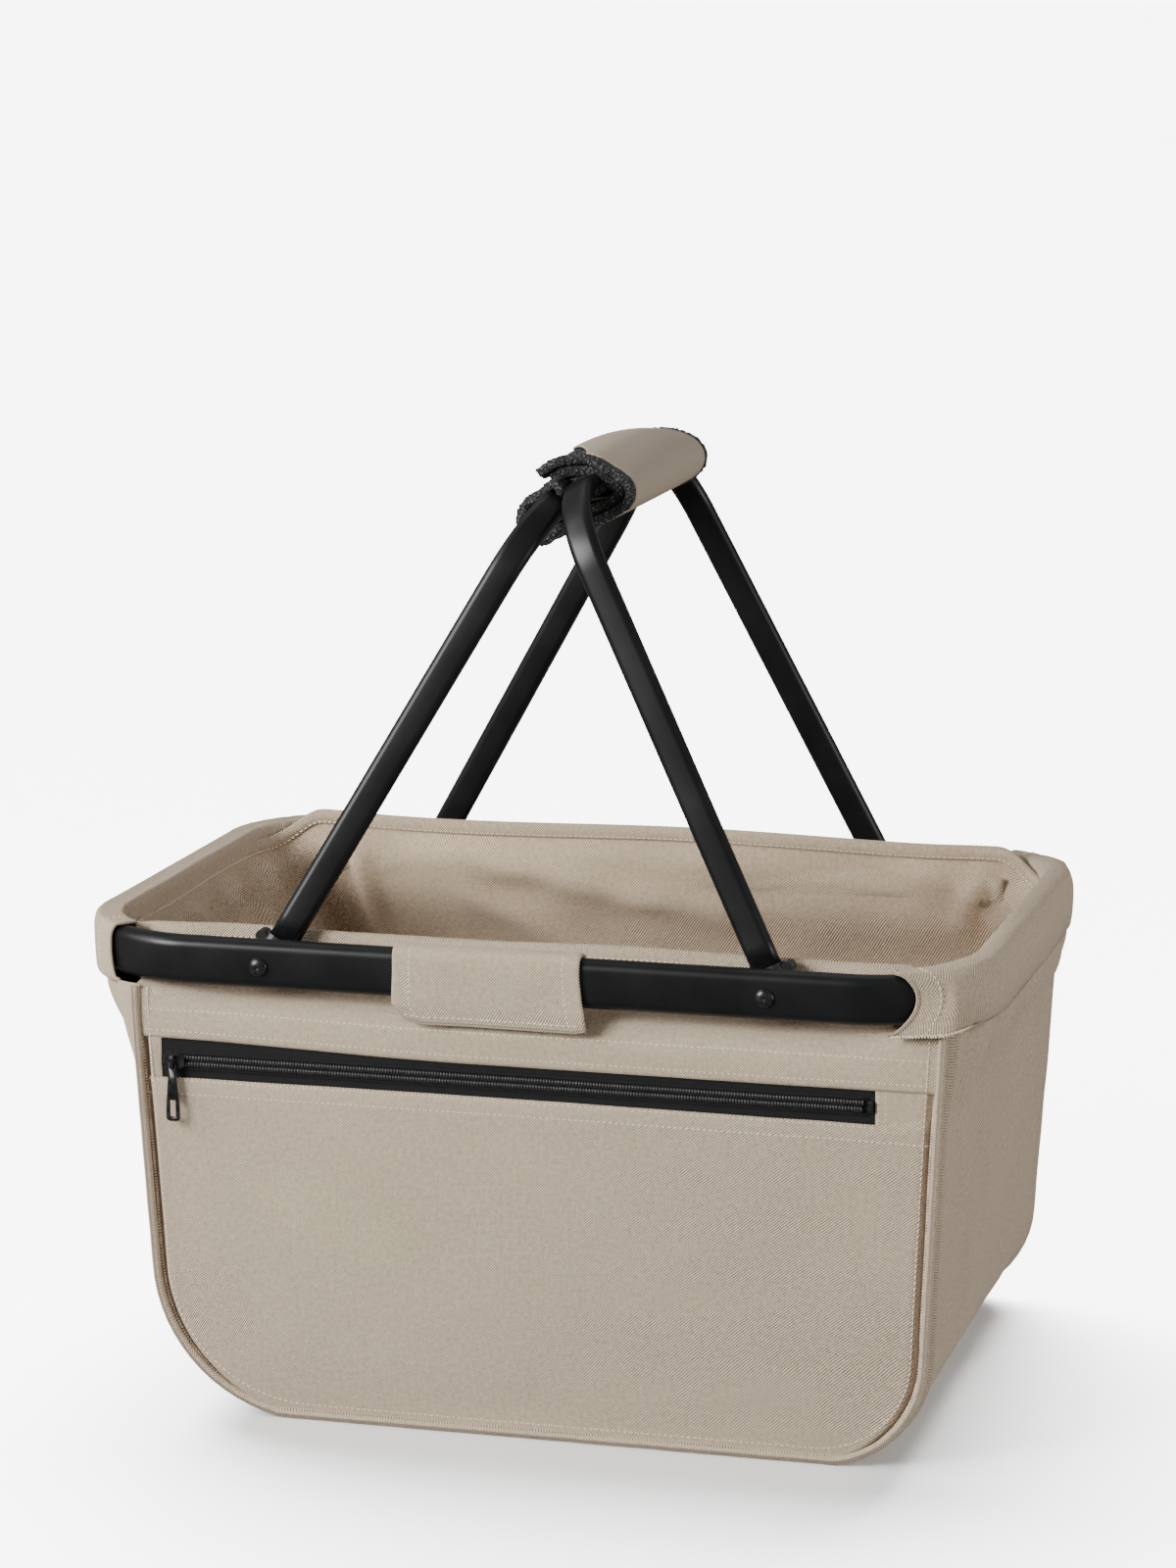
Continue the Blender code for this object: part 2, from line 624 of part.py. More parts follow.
def build_bag():
    panel("front_lining", front_y, -1, 0.0, HEM_FRONT_Z, LINING_SET, LINING)
    panel("pocket_panel", front_y, -1, 0.0, ZIP_LOW, 0.0, CLOTH)
    panel("pocket_band", front_y, -1, ZIP_HIGH, BAND_TOP, 0.0, CLOTH)
    panel("back_panel", back_y, 1, 0.0, HEM_BACK_Z, 0.0, CLOTH)
    build_gusset()
    build_piping("piping_front", front_y, -1)
    build_piping("piping_back", back_y, 1)
    build_zip_end("zip_end_left", side_x(-1, ZIP_LOW) + PATCH_INSET, ZIP_LEFT - GAP)
    build_zip_end("zip_end_right", ZIP_RIGHT + GAP, side_x(1, ZIP_LOW) - PATCH_INSET)
    build_board()


def plate(name, x_from, x_to, z_from, z_to, set_back, thickness, finish, columns=4):
    """A flat strip on the front wall, following its slight lean."""
    outer, inner = [], []
    for z in (z_from, z_to):
        xs = [x_from + (x_to - x_from) * c / (columns - 1) for c in range(columns)]
        outer.append([Vector((x, -(front_y(z) - set_back), z)) for x in xs])
        inner.append([Vector((x, -(front_y(z) - set_back - thickness), z)) for x in xs])
    return add_object(name, *sheet_solid(outer, inner), finish)


def build_zip_end(name, x_from, x_to):
    """The cloth patch that closes the pocket's opening beyond the end of the zip."""
    plate(name, x_from, x_to, ZIP_LOW + GAP, ZIP_HIGH - GAP, 0.0, CLOTH, "beige_cloth", 2)


def build_board():
    """The stiff board that lies on the bag's floor."""
    low = CLOTH + GAP
    left = side_x(-1, 0.0) + BOARD_SIDE
    right = side_x(1, 0.0) - BOARD_SIDE
    depth = BAG_FRONT_LOW - LINING_SET - LINING - BOARD_REACH
    frames = [(Vector((x, 0, low + BOARD / 2)), Vector((0, 1, 0)), Vector((0, 0, 1))) for x in (left, right)]
    add_object("base_board", *sweep(frames, rounded_rect(2 * depth, BOARD, 0.0008, 2)), "grey_board")


# ---------------------------------------------------------------- zip
def build_zip():
    """Two tapes with a row of coil each, and the stop at the right end."""
    middle = (ZIP_LOW + ZIP_HIGH) / 2
    y = -(front_y(middle) - TAPE_SET + GAP + COIL_DEPTH / 2)
    coil_section = rounded_rect(COIL_DEPTH, COIL_HEIGHT, COIL_EDGE, 2)
    coil_ends = (ZIP_LEFT + COIL_LEFT, ZIP_RIGHT - COIL_RIGHT)
    spans = {"upper": (middle + COIL_GAP, ZIP_HIGH - GAP), "lower": (ZIP_LOW + GAP, middle - COIL_GAP)}
    for name, (low, high) in spans.items():
        plate("zip_tape_" + name, ZIP_LEFT, ZIP_RIGHT, low, high, TAPE_SET, TAPE, "black_tape")
        start = low if name == "upper" else high - COIL_HEIGHT
        frames = [(Vector((x, y, start + COIL_HEIGHT / 2)), Vector((0, 1, 0)), Vector((0, 0, 1)))
                  for x in coil_ends]
        add_object("zip_coil_" + name, *sweep(frames, coil_section), "black_tape")
    length, depth, height, edge = STOP_SIZE
    stop_left = ZIP_RIGHT - COIL_RIGHT + GAP
    frames = [(Vector((x, y, middle)), Vector((0, 1, 0)), Vector((0, 0, 1)))
              for x in (stop_left, stop_left + length)]
    add_object("zip_stop", *sweep(frames, rounded_rect(depth, height, edge, 2)), "zip_metal")


def build_slider():
    """The slider plate runs in front of the coils; its bridge carries the puller's eye."""
    middle = (ZIP_LOW + ZIP_HIGH) / 2
    face = -(front_y(middle) - TAPE_SET + 2 * GAP + COIL_DEPTH)
    home = add_empty("slider_home", (ZIP_LEFT + SLIDER_HOME + SLIDER_LENGTH / 2, face, middle))
    shape = [(along * SLIDER_LENGTH, width * SLIDER_WIDTH / 2) for along, width in SLIDER_SHAPE]
    outer = [[Vector((x, -SLIDER_PLATE, side * w)) for side in (-1, -0.4, 0.4, 1)] for x, w in shape]
    inner = [[Vector((x, 0, side * w)) for side in (-1, -0.4, 0.4, 1)] for x, w in shape]
    slider = add_object("zip_slider", *sheet_solid(outer, inner), "zip_metal")
    slider.parent = home
    # the bridge: a staple whose legs stand on the plate above and below the puller's pin
    arch_line = [Vector(p) for p in BRIDGE_ARCH]
    normals = line_normals(arch_line)
    half = BRIDGE_STOCK / 2
    near = [[Vector((x, p.y + n.y * half, p.x + n.x * half)) for p, n in zip(arch_line, normals)]
            for x in (-BRIDGE_STOCK, BRIDGE_STOCK)]
    far = [[Vector((x, p.y - n.y * half, p.x - n.x * half)) for p, n in zip(arch_line, normals)]
           for x in (-BRIDGE_STOCK, BRIDGE_STOCK)]
    bridge = add_object("zip_bridge", *sheet_solid(near, far), "zip_metal")
    bridge.parent = home
    bridge.hide_render = True
    bridge.display_type = "WIRE"
    union = slider.modifiers.new("join_bridge", "BOOLEAN")
    union.operation = "UNION"
    union.object = bridge
    build_puller(home)


def puller_outline():
    """Half-round ends, the lower one wider: points (x, z) about the hinge."""
    outline = []
    top_half = PULLER_WIDTH * 0.45
    low_half = PULLER_WIDTH / 2
    for angle in range(0, 181, 20):
        turn = math.radians(angle)
        outline.append((top_half * math.cos(turn), PULLER_TOP - top_half + top_half * math.sin(turn)))
    bottom = PULLER_TOP - PULLER_LENGTH
    for angle in range(180, 361, 20):
        turn = math.radians(angle)
        outline.append((low_half * math.cos(turn), bottom + low_half + low_half * math.sin(turn)))
    return outline


def build_puller(home):
    """A flat pull: its small eye takes the bridge, and a long eye sits near its lower end."""
    hinge = add_empty("puller_hinge", (0, -SLIDER_PLATE - TUNNEL / 2, PIN_Z), parent=home)
    outline = puller_outline()
    count = len(outline)
    vertices = [Vector((x, y, z)) for y in (-PULLER_THICK / 2, PULLER_THICK / 2) for x, z in outline]
    faces = [(i, (i + 1) % count, count + (i + 1) % count, count + i) for i in range(count)]
    faces.append(tuple(range(count)))
    faces.append(tuple(count + i for i in range(count)))
    puller = add_object("zip_puller", vertices, faces, "zip_metal")
    puller.parent = hinge
    bottom = PULLER_TOP - PULLER_LENGTH
    eyes = (("eye", *EYE), ("slot", SLOT[0], bottom + SLOT[1], bottom + SLOT[2]))
    for name, width, low, high in eyes:
        middle = (low + high) / 2
        frames = [(Vector((0, y, middle)), Vector((1, 0, 0)), Vector((0, 0, 1))) for y in (-0.01, 0.01)]
        section = rounded_rect(width, high - low, width / 2 - 0.0001)
        cutter = add_object("puller_" + name, *sweep(frames, section), "zip_metal")
        cutter.parent = hinge
        cut(puller, cutter)


# ---------------------------------------------------------------- sleeves and tabs
def sleeve_frames(side, steps=12):
    """Frames on the rim's middle line round one end, from the front cloth edge to the back one."""
    half_x = RIM_HALF_LENGTH - RIM_THICK / 2
    half_y = RIM_HALF_DEPTH - RIM_THICK / 2
    radius = RIM_CORNER - RIM_THICK / 2
    first = math.asin((abs(SLEEVE_FRONT_X[side]) - (half_x - radius)) / radius)
    frames = []
    for corner, start, stop in ((-1, first - math.pi / 2, 0.0), (1, 0.0, math.pi / 2 - first)):
        centre = Vector((SIDE_SIGN[side] * (half_x - radius), corner * (half_y - radius), RIM_Z))
        for step in range(steps + 1):
            angle = start + (stop - start) * step / steps
            out = Vector((SIDE_SIGN[side] * math.cos(angle), math.sin(angle), 0))
            frames.append((centre + radius * out, out, Vector((0, 0, 1))))
    return frames


def build_sleeves():
    """Cloth tubes sewn round the rim's ends and corners."""
    gap = SLEEVE_SLACK
    far = gap + CLOTH
    inner = rounded_rect(RIM_THICK + 2 * gap, RIM_HEIGHT + 2 * gap, RIM_EDGE + gap)
    outer = rounded_rect(RIM_THICK + 2 * far, RIM_HEIGHT + 2 * far, RIM_EDGE + far)
    for side in ("left", "right"):
        vertices, faces = hollow_sweep(sleeve_frames(side), outer, inner)
        add_object("end_sleeve_" + side, vertices, faces, "beige_cloth")


def build_tabs():
    """Cloth tabs folded over the middle of each long side, over the rim's butt joints."""
    top = RIM_HEIGHT / 2 + SLEEVE_SLACK
    half = RIM_THICK / 2 + SLEEVE_SLACK
    low = TAB_LOW - RIM_Z
    line = [(half, low), (half, top - RIM_EDGE), (half - FOLD, top - FOLD_DROP), (half - RIM_EDGE, top),
            (RIM_EDGE - half, top), (FOLD - half, top - FOLD_DROP), (-half, top - RIM_EDGE),
            (-half, TAB_BACK_LOW)]
    line = [Vector(p) for p in line]
    normals = line_normals(line)
    for end, sign in (("front", -1), ("back", 1)):
        y = RIM_HALF_DEPTH - RIM_THICK / 2
        near, far = [], []
        for x in (TAB_X - TAB_HALF, TAB_X + TAB_HALF):
            near.append([Vector((x, sign * (y + p.x), RIM_Z + p.y)) for p in line])
            far.append([Vector((x, sign * (y + p.x - CLOTH * n.x), RIM_Z + p.y - CLOTH * n.y))
                        for p, n in zip(line, normals)])
        add_object("tab_" + end, *sheet_solid(near, far), "beige_cloth")


# ---------------------------------------------------------------- assembly
def build():
    clear_scene()
    build_rim()
    build_joiners()
    mounts = {side: build_bail(side) for side in ("left", "right")}
    build_rivets()
    build_wraps(mounts)
    build_bag()
    build_zip()
    build_slider()
    build_sleeves()
    build_tabs()


build()
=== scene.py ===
"""Looks of the folding carry basket: cloth bag, rim, bails, wraps, zip and stitching."""
import math

import bmesh
import bpy
import numpy as np
from mathutils import Matrix, Vector, noise


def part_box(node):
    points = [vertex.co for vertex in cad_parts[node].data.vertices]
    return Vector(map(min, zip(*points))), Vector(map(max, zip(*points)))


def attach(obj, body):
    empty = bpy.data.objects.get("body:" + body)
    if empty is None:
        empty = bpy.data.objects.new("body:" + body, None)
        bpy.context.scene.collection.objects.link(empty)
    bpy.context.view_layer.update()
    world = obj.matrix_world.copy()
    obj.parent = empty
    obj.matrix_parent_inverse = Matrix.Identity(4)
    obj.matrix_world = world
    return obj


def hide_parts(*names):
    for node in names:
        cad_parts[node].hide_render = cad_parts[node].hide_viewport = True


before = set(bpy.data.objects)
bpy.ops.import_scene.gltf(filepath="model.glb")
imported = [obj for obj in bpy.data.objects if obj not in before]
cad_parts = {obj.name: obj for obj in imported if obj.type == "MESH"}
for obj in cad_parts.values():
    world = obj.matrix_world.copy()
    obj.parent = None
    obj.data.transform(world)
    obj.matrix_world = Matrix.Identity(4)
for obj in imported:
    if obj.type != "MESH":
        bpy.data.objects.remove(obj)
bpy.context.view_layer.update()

# ---------------------------------------------------------------- dimensions shared with the CAD
RIM_HALF_LENGTH, RIM_HALF_DEPTH = 0.235, 0.162
RIM_CORNER, RIM_THICK, RIM_HEIGHT = 0.065, 0.012, 0.025
RIM_Z = 0.240
RIM_BEND = RIM_CORNER - RIM_THICK / 2                # its middle line's corner radius
CORNER_X, CORNER_Y = RIM_HALF_LENGTH - RIM_CORNER, RIM_HALF_DEPTH - RIM_CORNER
PIVOT_X, PIVOT_Z, LEG_Y, LEG_CLOSE = 0.130, 0.2394, 0.138, 0.12
BAIL_LENGTH = 0.262
LEAN = {"left": math.radians(30.1), "right": math.radians(26.6)}
SIGN = {"left": -1, "right": 1}
BAG_X, BAG_HALF_LOW, BAG_SPREAD = 0.0105, 0.198, 0.048
BAG_CORNER = {-1: 0.076, 1: 0.054}
BAG_TOP_Z = 0.2236
FRONT_LOW, FRONT_HIGH = 0.1502, 0.1590
ZIP_HIGH, ZIP_LEFT, ZIP_RIGHT = 0.1963, -0.1835, 0.1848
HEM_Y = 0.1262           # the hem's front and back runs
CLOTH = 0.0013
PIPE = 0.0023            # radius of the covered cord in the seams
ZIP_MIDDLE = 0.1875
TAPE_SET = 0.0010        # how far the zip's tapes lie behind the cloth's face
TOOTH_PITCH = 0.00152
FLARE_LOW = 0.172        # where the end walls begin to spread out to the rim
WALL_TOP = 0.2262        # where they run in under the sleeves
BAND_HALF = 0.196        # half length of the cloth that stands up inside the rim
FLOOR_Z = 0.0045         # the inner cloth's foot
HEM_FRONT, HEM_BACK, HEM_END = 0.2512, 0.2605, 0.2478
SLEEVE_START = {"left": 0.2085, "right": 0.1970}     # X of each sleeve's front end
SLEEVE_BACK = 0.1945     # X of both sleeves' back ends
WEAVE = 0.0015           # one repeat of the basket weave
STITCH = 0.0030          # one stitch and its gap
BEND = 0.045             # middle radius of the bails' bends
BAIL_SECTION = (0.0080, 0.0155, 0.0038)
WRAP_ENDS = (-0.066, 0.084)
AMBIENT = 0.30           # brightness of the room on the object
PAPER = 7.8              # brightness of the white background behind it


# ---------------------------------------------------------------- small maths
def smooth(value, low, high):
    """0 below low, 1 above high, eased between."""
    t = min(max((value - low) / (high - low), 0.0), 1.0)
    return t * t * (3 - 2 * t)


def mix(a, b, t):
    """a at t = 0, b at t = 1."""
    return a + (b - a) * t


def crease(x, y, start, end, width, height):
    """A soft ridge along a line in a flat pattern; negative height is a valley."""
    ax, ay = start
    dx, dy = end[0] - ax, end[1] - ay
    length = math.hypot(dx, dy)
    along = ((x - ax) * dx + (y - ay) * dy) / length
    across = ((y - ay) * dx - (x - ax) * dy) / length
    fade = smooth(along, -0.25 * length, 0.3 * length) * (1 - smooth(along, 0.7 * length, 1.25 * length))
    return height * fade * math.exp(-(across / width) ** 2)


def bell(value, middle, width, height):
    """A bell curve."""
    return height * math.exp(-((value - middle) / width) ** 2)


def creases(x, y, folds):
    """The sum of several ridges, each given as start, end, width and height."""
    return sum(crease(x, y, *fold) for fold in folds)


def soft_noise(x, y, scale, seed):
    """Smooth noise between -1 and 1 over a flat pattern; every seed gives its own."""
    return noise.noise(Vector((x / scale, y / scale, seed * 7.3)))


def spline(points, per_span=6):
    """A smooth line through points of any dimension."""
    pts = [np.array(p, float) for p in points]
    ends = [2 * pts[0] - pts[1]] + pts + [2 * pts[-1] - pts[-2]]
    line = []
    for i in range(1, len(ends) - 2):
        p0, p1, p2, p3 = ends[i - 1:i + 3]
        for step in range(per_span):
            t = step / per_span
            line.append(0.5 * (2 * p1 + (p2 - p0) * t + (2 * p0 - 5 * p1 + 4 * p2 - p3) * t * t
                               + (3 * p1 - p0 - 3 * p2 + p3) * t ** 3))
    line.append(pts[-1])
    return np.array(line)


def resample(line, count):
    """The same line with evenly spaced points."""
    steps = np.linalg.norm(np.diff(line, axis=0), axis=1)
    run = np.concatenate(([0], np.cumsum(steps)))
    places = np.linspace(0, run[-1], count)
    return np.stack([np.interp(places, run, line[:, i]) for i in range(line.shape[1])], axis=1)


def line_length(line):
    return float(np.linalg.norm(np.diff(line, axis=0), axis=1).sum())


# ---------------------------------------------------------------- mesh builders
def settle(piece, slot, body, *nodes):
    """Gives a piece the body that it rides on and hides the CAD nodes that it stands for; slot is not used.
    """
    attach(piece, body)
    if nodes:
        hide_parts(*nodes)


def new_object(name, vertices, faces, material, uvs=None):
    """A smooth mesh object; uvs has one place for each vertex."""
    mesh = bpy.data.meshes.new(name)
    mesh.from_pydata([tuple(v) for v in vertices], [], faces)
    if uvs is not None:
        layer = mesh.uv_layers.new(name="UVMap")
        for loop in mesh.loops:
            layer.data[loop.index].uv = uvs[loop.vertex_index]
    mesh.materials.append(material)
    mesh.shade_smooth()
    obj = bpy.data.objects.new(name, mesh)
    bpy.context.scene.collection.objects.link(obj)
    return obj


def grid_object(name, rows, material, thickness=CLOTH, uv_rows=None, outward=None, closed=False):
    """A cloth sheet from rows of points.  UVs are in metres, so a weave keeps its scale.

    outward is a rough direction that the face side looks along; the thickness goes the other way.
    """
    grid = np.array([[tuple(p) for p in row] for row in rows], float)
    count_r, count_c = grid.shape[:2]
    if uv_rows is None:
        across = np.linalg.norm(np.diff(grid, axis=1), axis=2)
        down = np.linalg.norm(np.diff(grid, axis=0), axis=2)
        u = np.concatenate((np.zeros((count_r, 1)), np.cumsum(across, axis=1)), axis=1)
        u = u - u[:, count_c // 2][:, None]
        v = np.concatenate((np.zeros((1, count_c)), np.cumsum(down, axis=0)), axis=0)
        uv = np.stack((u, v), axis=2)
    else:
        uv = np.array(uv_rows, float)
    faces = []
    last = count_c if closed else count_c - 1
    for r in range(count_r - 1):
        for c in range(last):
            d = (c + 1) % count_c
            faces.append((r * count_c + c, r * count_c + d, (r + 1) * count_c + d, (r + 1) * count_c + c))
    obj = new_object(name, grid.reshape(-1, 3), faces, material, uv.reshape(-1, 2))
    if outward is not None:
        orient(obj, outward)
    if thickness:
        solid = obj.modifiers.new("thickness", "SOLIDIFY")
        solid.thickness = thickness
        solid.offset = -1.0
        solid.use_even_offset = False
        apply_modifiers(obj)
    return obj


def orient(obj, outward):
    """Turns the faces so that most of them look along outward, a direction or a function of a point."""
    mesh = obj.data
    total = 0.0
    for face in mesh.polygons:
        want = outward(face.center) if callable(outward) else Vector(outward)
        total += face.area * face.normal.dot(want)
    if total < 0:
        mesh.flip_normals()


def apply_modifiers(obj):
    """Turns an object's modifiers into its mesh."""
    graph = bpy.context.evaluated_depsgraph_get()
    mesh = bpy.data.meshes.new_from_object(obj.evaluated_get(graph), preserve_all_data_layers=True,
                                           depsgraph=graph)
    obj.modifiers.clear()
    obj.data = mesh
    mesh.shade_smooth()


def ring_faces(rings, around, start=0):
    """Faces joining rings of points into a tube, with a flat cap at each end."""
    faces = []
    for ring in range(rings - 1):
        a = start + ring * around
        for k in range(around):
            j = (k + 1) % around
            faces.append((a + k, a + j, a + around + j, a + around + k))
    faces.append(tuple(start + k for k in range(around))[::-1])
    faces.append(tuple(start + (rings - 1) * around + k for k in range(around)))
    return faces


def tube_object(name, line, radius, material, sides=10):
    """A round cord or bar along a line."""
    line = np.array(line, float)
    tangents = np.gradient(line, axis=0)
    tangents /= np.linalg.norm(tangents, axis=1)[:, None]
    side = np.cross(tangents[0], (0, 0, 1.0))
    if np.linalg.norm(side) < 1e-3:
        side = np.cross(tangents[0], (0, 1.0, 0))
    vertices, uvs = [], []
    run = 0.0
    for i, (point, tangent) in enumerate(zip(line, tangents)):
        side = side - tangent * side.dot(tangent)
        side /= np.linalg.norm(side)
        other = np.cross(tangent, side)
        if i:
            run += np.linalg.norm(point - line[i - 1])
        for k in range(sides):
            turn = 2 * math.pi * k / sides
            vertices.append(point + radius * (side * math.cos(turn) + other * math.sin(turn)))
            uvs.append((turn * radius, run))
    return new_object(name, vertices, ring_faces(len(line), sides), material, uvs)


def ribbon_tube(name, frames, section, material):
    """A section (a, b) carried along frames (origin, first, second), with flat ends."""
    vertices = [o + a * f + b * s for o, f, s in frames for a, b in section]
    around = [0.0]
    for here, before in zip(section[1:], section):
        around.append(around[-1] + math.dist(here, before))
    run, uvs = 0.0, []
    for i, (origin, _, _) in enumerate(frames):
        if i:
            run += (origin - frames[i - 1][0]).length
        uvs += [(along, run) for along in around]
    return face_out(new_object(name, vertices, ring_faces(len(frames), len(section)), material, uvs))


def face_out(obj):
    """Turns a closed mesh's faces outwards."""
    work = bmesh.new()
    work.from_mesh(obj.data)
    bmesh.ops.recalc_face_normals(work, faces=work.faces)
    work.to_mesh(obj.data)
    work.free()
    return obj


def stitches(name, routes, material, radius=0.00036, proud=0.00024):
    """Thread along routes.  A route is a list of (point, normal); each stitch is a low sewn loop."""
    length = STITCH * 0.62
    knots = ((-length / 2, -radius), (-length / 4, proud), (length / 4, proud), (length / 2, -radius))
    sides = 5
    vertices, faces = [], []
    for route in routes:
        points = np.array([tuple(p) for p, _ in route], float)
        normals = np.array([tuple(n) for _, n in route], float)
        steps = np.linalg.norm(np.diff(points, axis=0), axis=1)
        run = np.concatenate(([0], np.cumsum(steps)))
        for i in range(int(run[-1] / STITCH)):
            middle = (i + 0.5) * STITCH
            centres, outs = [], []
            for ahead, lift in knots:
                place = middle + ahead
                p = np.array([np.interp(place, run, points[:, k]) for k in range(3)])
                n = np.array([np.interp(place, run, normals[:, k]) for k in range(3)])
                n /= np.linalg.norm(n)
                centres.append(p + n * lift)
                outs.append(n)
            along = centres[-1] - centres[0]
            along /= np.linalg.norm(along)
            faces += ring_faces(len(knots), sides, len(vertices))
            for c, n in zip(centres, outs):
                side = np.cross(along, n)
                for k in range(sides):
                    angle = 2 * math.pi * k / sides
                    vertices.append(c + radius * (side * math.cos(angle) + n * math.sin(angle)))
    settle(new_object(name, vertices, faces, material), "beige_cloth", "basket")


# ---------------------------------------------------------------- materials
def add_node(tree, kind, values=None, **settings):
    """A shader node; each value is a number, a colour or another node's output."""
    node = tree.nodes.new(kind)
    for key, value in settings.items():
        setattr(node, key, value)
    for socket, value in (values or {}).items():
        if isinstance(value, bpy.types.NodeSocket):
            tree.links.new(value, node.inputs[socket])
        else:
            node.inputs[socket].default_value = value
    return node


def maths(tree, operation, a, b=0.0, c=0.0):
    return add_node(tree, "ShaderNodeMath", {0: a, 1: b, 2: c}, operation=operation).outputs[0]


def texture(tree, place, kind, scale, detail=None):
    """The first output of a Noise or Voronoi texture."""
    values = {"Vector": place, "Scale": scale}
    if detail is not None:
        values["Detail"] = detail
    return add_node(tree, "ShaderNodeTex" + kind, values).outputs[0]


def object_place(tree):
    return add_node(tree, "ShaderNodeTexCoord").outputs["Object"]


def start_material(name, roughness, **sockets):
    """A new material, its node tree and its shader with the given inputs set."""
    material = bpy.data.materials.new(name)
    material.use_nodes = True
    tree = material.node_tree
    shader = tree.nodes["Principled BSDF"]
    shader.inputs["Roughness"].default_value = roughness
    for key, value in sockets.items():
        shader.inputs[key.replace("_", " ")].default_value = value
    return material, tree, shader


def ramp(tree, factor, stops):
    """A colour ramp through (place, colour) stops."""
    node = add_node(tree, "ShaderNodeValToRGB", {0: factor})
    elements = node.color_ramp.elements
    while len(elements) < len(stops):
        elements.new(0.5)
    for element, (place, colour) in zip(elements, stops):
        element.position = place
        element.color = (*colour, 1.0)
    return node.outputs[0]


def grey(value):
    return (value, value, value)


def join(tree, shader, colour, height, strength, distance, invert=False):
    """Gives the shader its colour and a relief."""
    tree.links.new(colour, shader.inputs["Base Color"])
    values = {"Height": height, "Strength": strength, "Distance": distance}
    relief = add_node(tree, "ShaderNodeBump", values, invert=invert)
    tree.links.new(relief.outputs[0], shader.inputs["Normal"])


def weave_height(tree, period):
    """A basket weave from the cloth's own coordinates: bumps that alternate like a chessboard."""
    uv = add_node(tree, "ShaderNodeUVMap", uv_map="UVMap").outputs[0]
    wobble = add_node(tree, "ShaderNodeTexNoise", {"Vector": uv, "Scale": 90.0, "Detail": 2.0})
    shift = add_node(tree, "ShaderNodeVectorMath", {0: wobble.outputs["Color"], 1: grey(period / 2)},
                     operation="MULTIPLY")
    moved = add_node(tree, "ShaderNodeVectorMath", {0: uv, 1: shift.outputs[0]}, operation="ADD")
    parts = add_node(tree, "ShaderNodeSeparateXYZ", {0: moved.outputs[0]})
    rate = 2 * math.pi / period
    warp, weft = (maths(tree, "SINE", maths(tree, "MULTIPLY", parts.outputs[k], rate)) for k in (0, 1))
    return maths(tree, "MULTIPLY_ADD", maths(tree, "MULTIPLY", warp, weft), 0.5, 0.5), uv


def cloth_material(name, light, dark, period=WEAVE, bump=1.0, cloud=0.08, sheen=0.08):
    """Woven cloth: light threads over dark gaps, painted light on the raised threads and painted shade in the
    low gaps, slubs in the yarn and broad clouds of shade.
    """
    material, tree, shader = start_material(name, 0.85, Sheen_Weight=sheen, Sheen_Roughness=0.45,
                                            Specular_IOR_Level=0.25)
    height, uv = weave_height(tree, period)
    slub = texture(tree, uv, "Noise", 420.0, 3.0)
    broad = texture(tree, uv, "Noise", 11.0, 3.0)
    level = maths(tree, "MULTIPLY_ADD", slub, 0.35, maths(tree, "MULTIPLY", height, 0.75))
    # painted shade and light: the colour follows the weave's height, dark in the gaps and light on the raised
    # threads
    thread = ramp(tree, level, ((0.12, dark), (0.80, light)))
    shade = maths(tree, "MULTIPLY_ADD", broad, cloud, 1.0 - cloud / 2)
    tint = add_node(tree, "ShaderNodeMix", {0: 1.0, 6: thread, 7: shade}, data_type="RGBA",
                    blend_type="MULTIPLY")
    join(tree, shader, tint.outputs[2], level, bump, 0.0010)
    return material


def black_material(name, roughness, patches, stops, grain, strength, rub=None, **sockets):
    """A hard black finish with lighter patches and a fine relief.

    patches and grain are the kind, scale and detail of a texture; rub is how the patches change the
    roughness: a factor and a least value.
    """
    material, tree, shader = start_material(name, roughness, **sockets)
    place = object_place(tree)
    cloud = texture(tree, place, *patches)
    height = cloud if grain == patches else texture(tree, place, *grain)
    join(tree, shader, ramp(tree, cloud, stops), height, strength, 0.0002)
    if rub:
        tree.links.new(maths(tree, "MULTIPLY_ADD", cloud, *rub), shader.inputs["Roughness"])
    return material


def pile_material():
    """Looped pile: tiny bright knots, a painted highlight on the raised loop tops, on a dark ground."""
    material, tree, shader = start_material("loop_pile", 0.75, Sheen_Weight=0.06, Sheen_Roughness=0.5)
    place = object_place(tree)
    loops = texture(tree, place, "Voronoi", 620.0)
    fuzz = texture(tree, place, "Noise", 1400.0, 3.0)
    mixed = maths(tree, "MULTIPLY_ADD", fuzz, 0.6, loops)
    # painted highlight: the knots that the inverted bump raises are painted light grey
    colour = ramp(tree, mixed, ((0.46, (0.150, 0.147, 0.142)), (0.64, grey(0.007)), (0.95, grey(0.003))))
    join(tree, shader, colour, mixed, 1.0, 0.0012, invert=True)
    return material


def floor_material():
    material, tree, shader = start_material("studio_floor", 0.9)
    grain = texture(tree, object_place(tree), "Noise", 3.0)
    tree.links.new(ramp(tree, grain, ((0.0, grey(0.90)), (1.0, grey(0.905)))), shader.inputs["Base Color"])
    return material


# for BEIGE and LINING the near-white first colour and near-black second are painted light on the threads and
# painted shade in the gaps
BEIGE = cloth_material("beige_basket_weave", (0.990, 0.785, 0.575), (0.060, 0.043, 0.029))
LINING = cloth_material("beige_weave_back", (0.960, 0.745, 0.537), (0.080, 0.058, 0.038), cloud=0.14)
FACE = cloth_material("beige_face_cloth", (0.480, 0.390, 0.300), (0.300, 0.240, 0.180), period=0.0007,
                      bump=0.35)
THREAD = cloth_material("sewing_thread", (0.900, 0.760, 0.600), (0.620, 0.500, 0.380), period=0.0006)
TAPE = cloth_material("zip_tape_weave", (0.0150, 0.0150, 0.0155), grey(0.0045), period=0.0009, bump=0.8,
                      cloud=0.2, sheen=0.04)
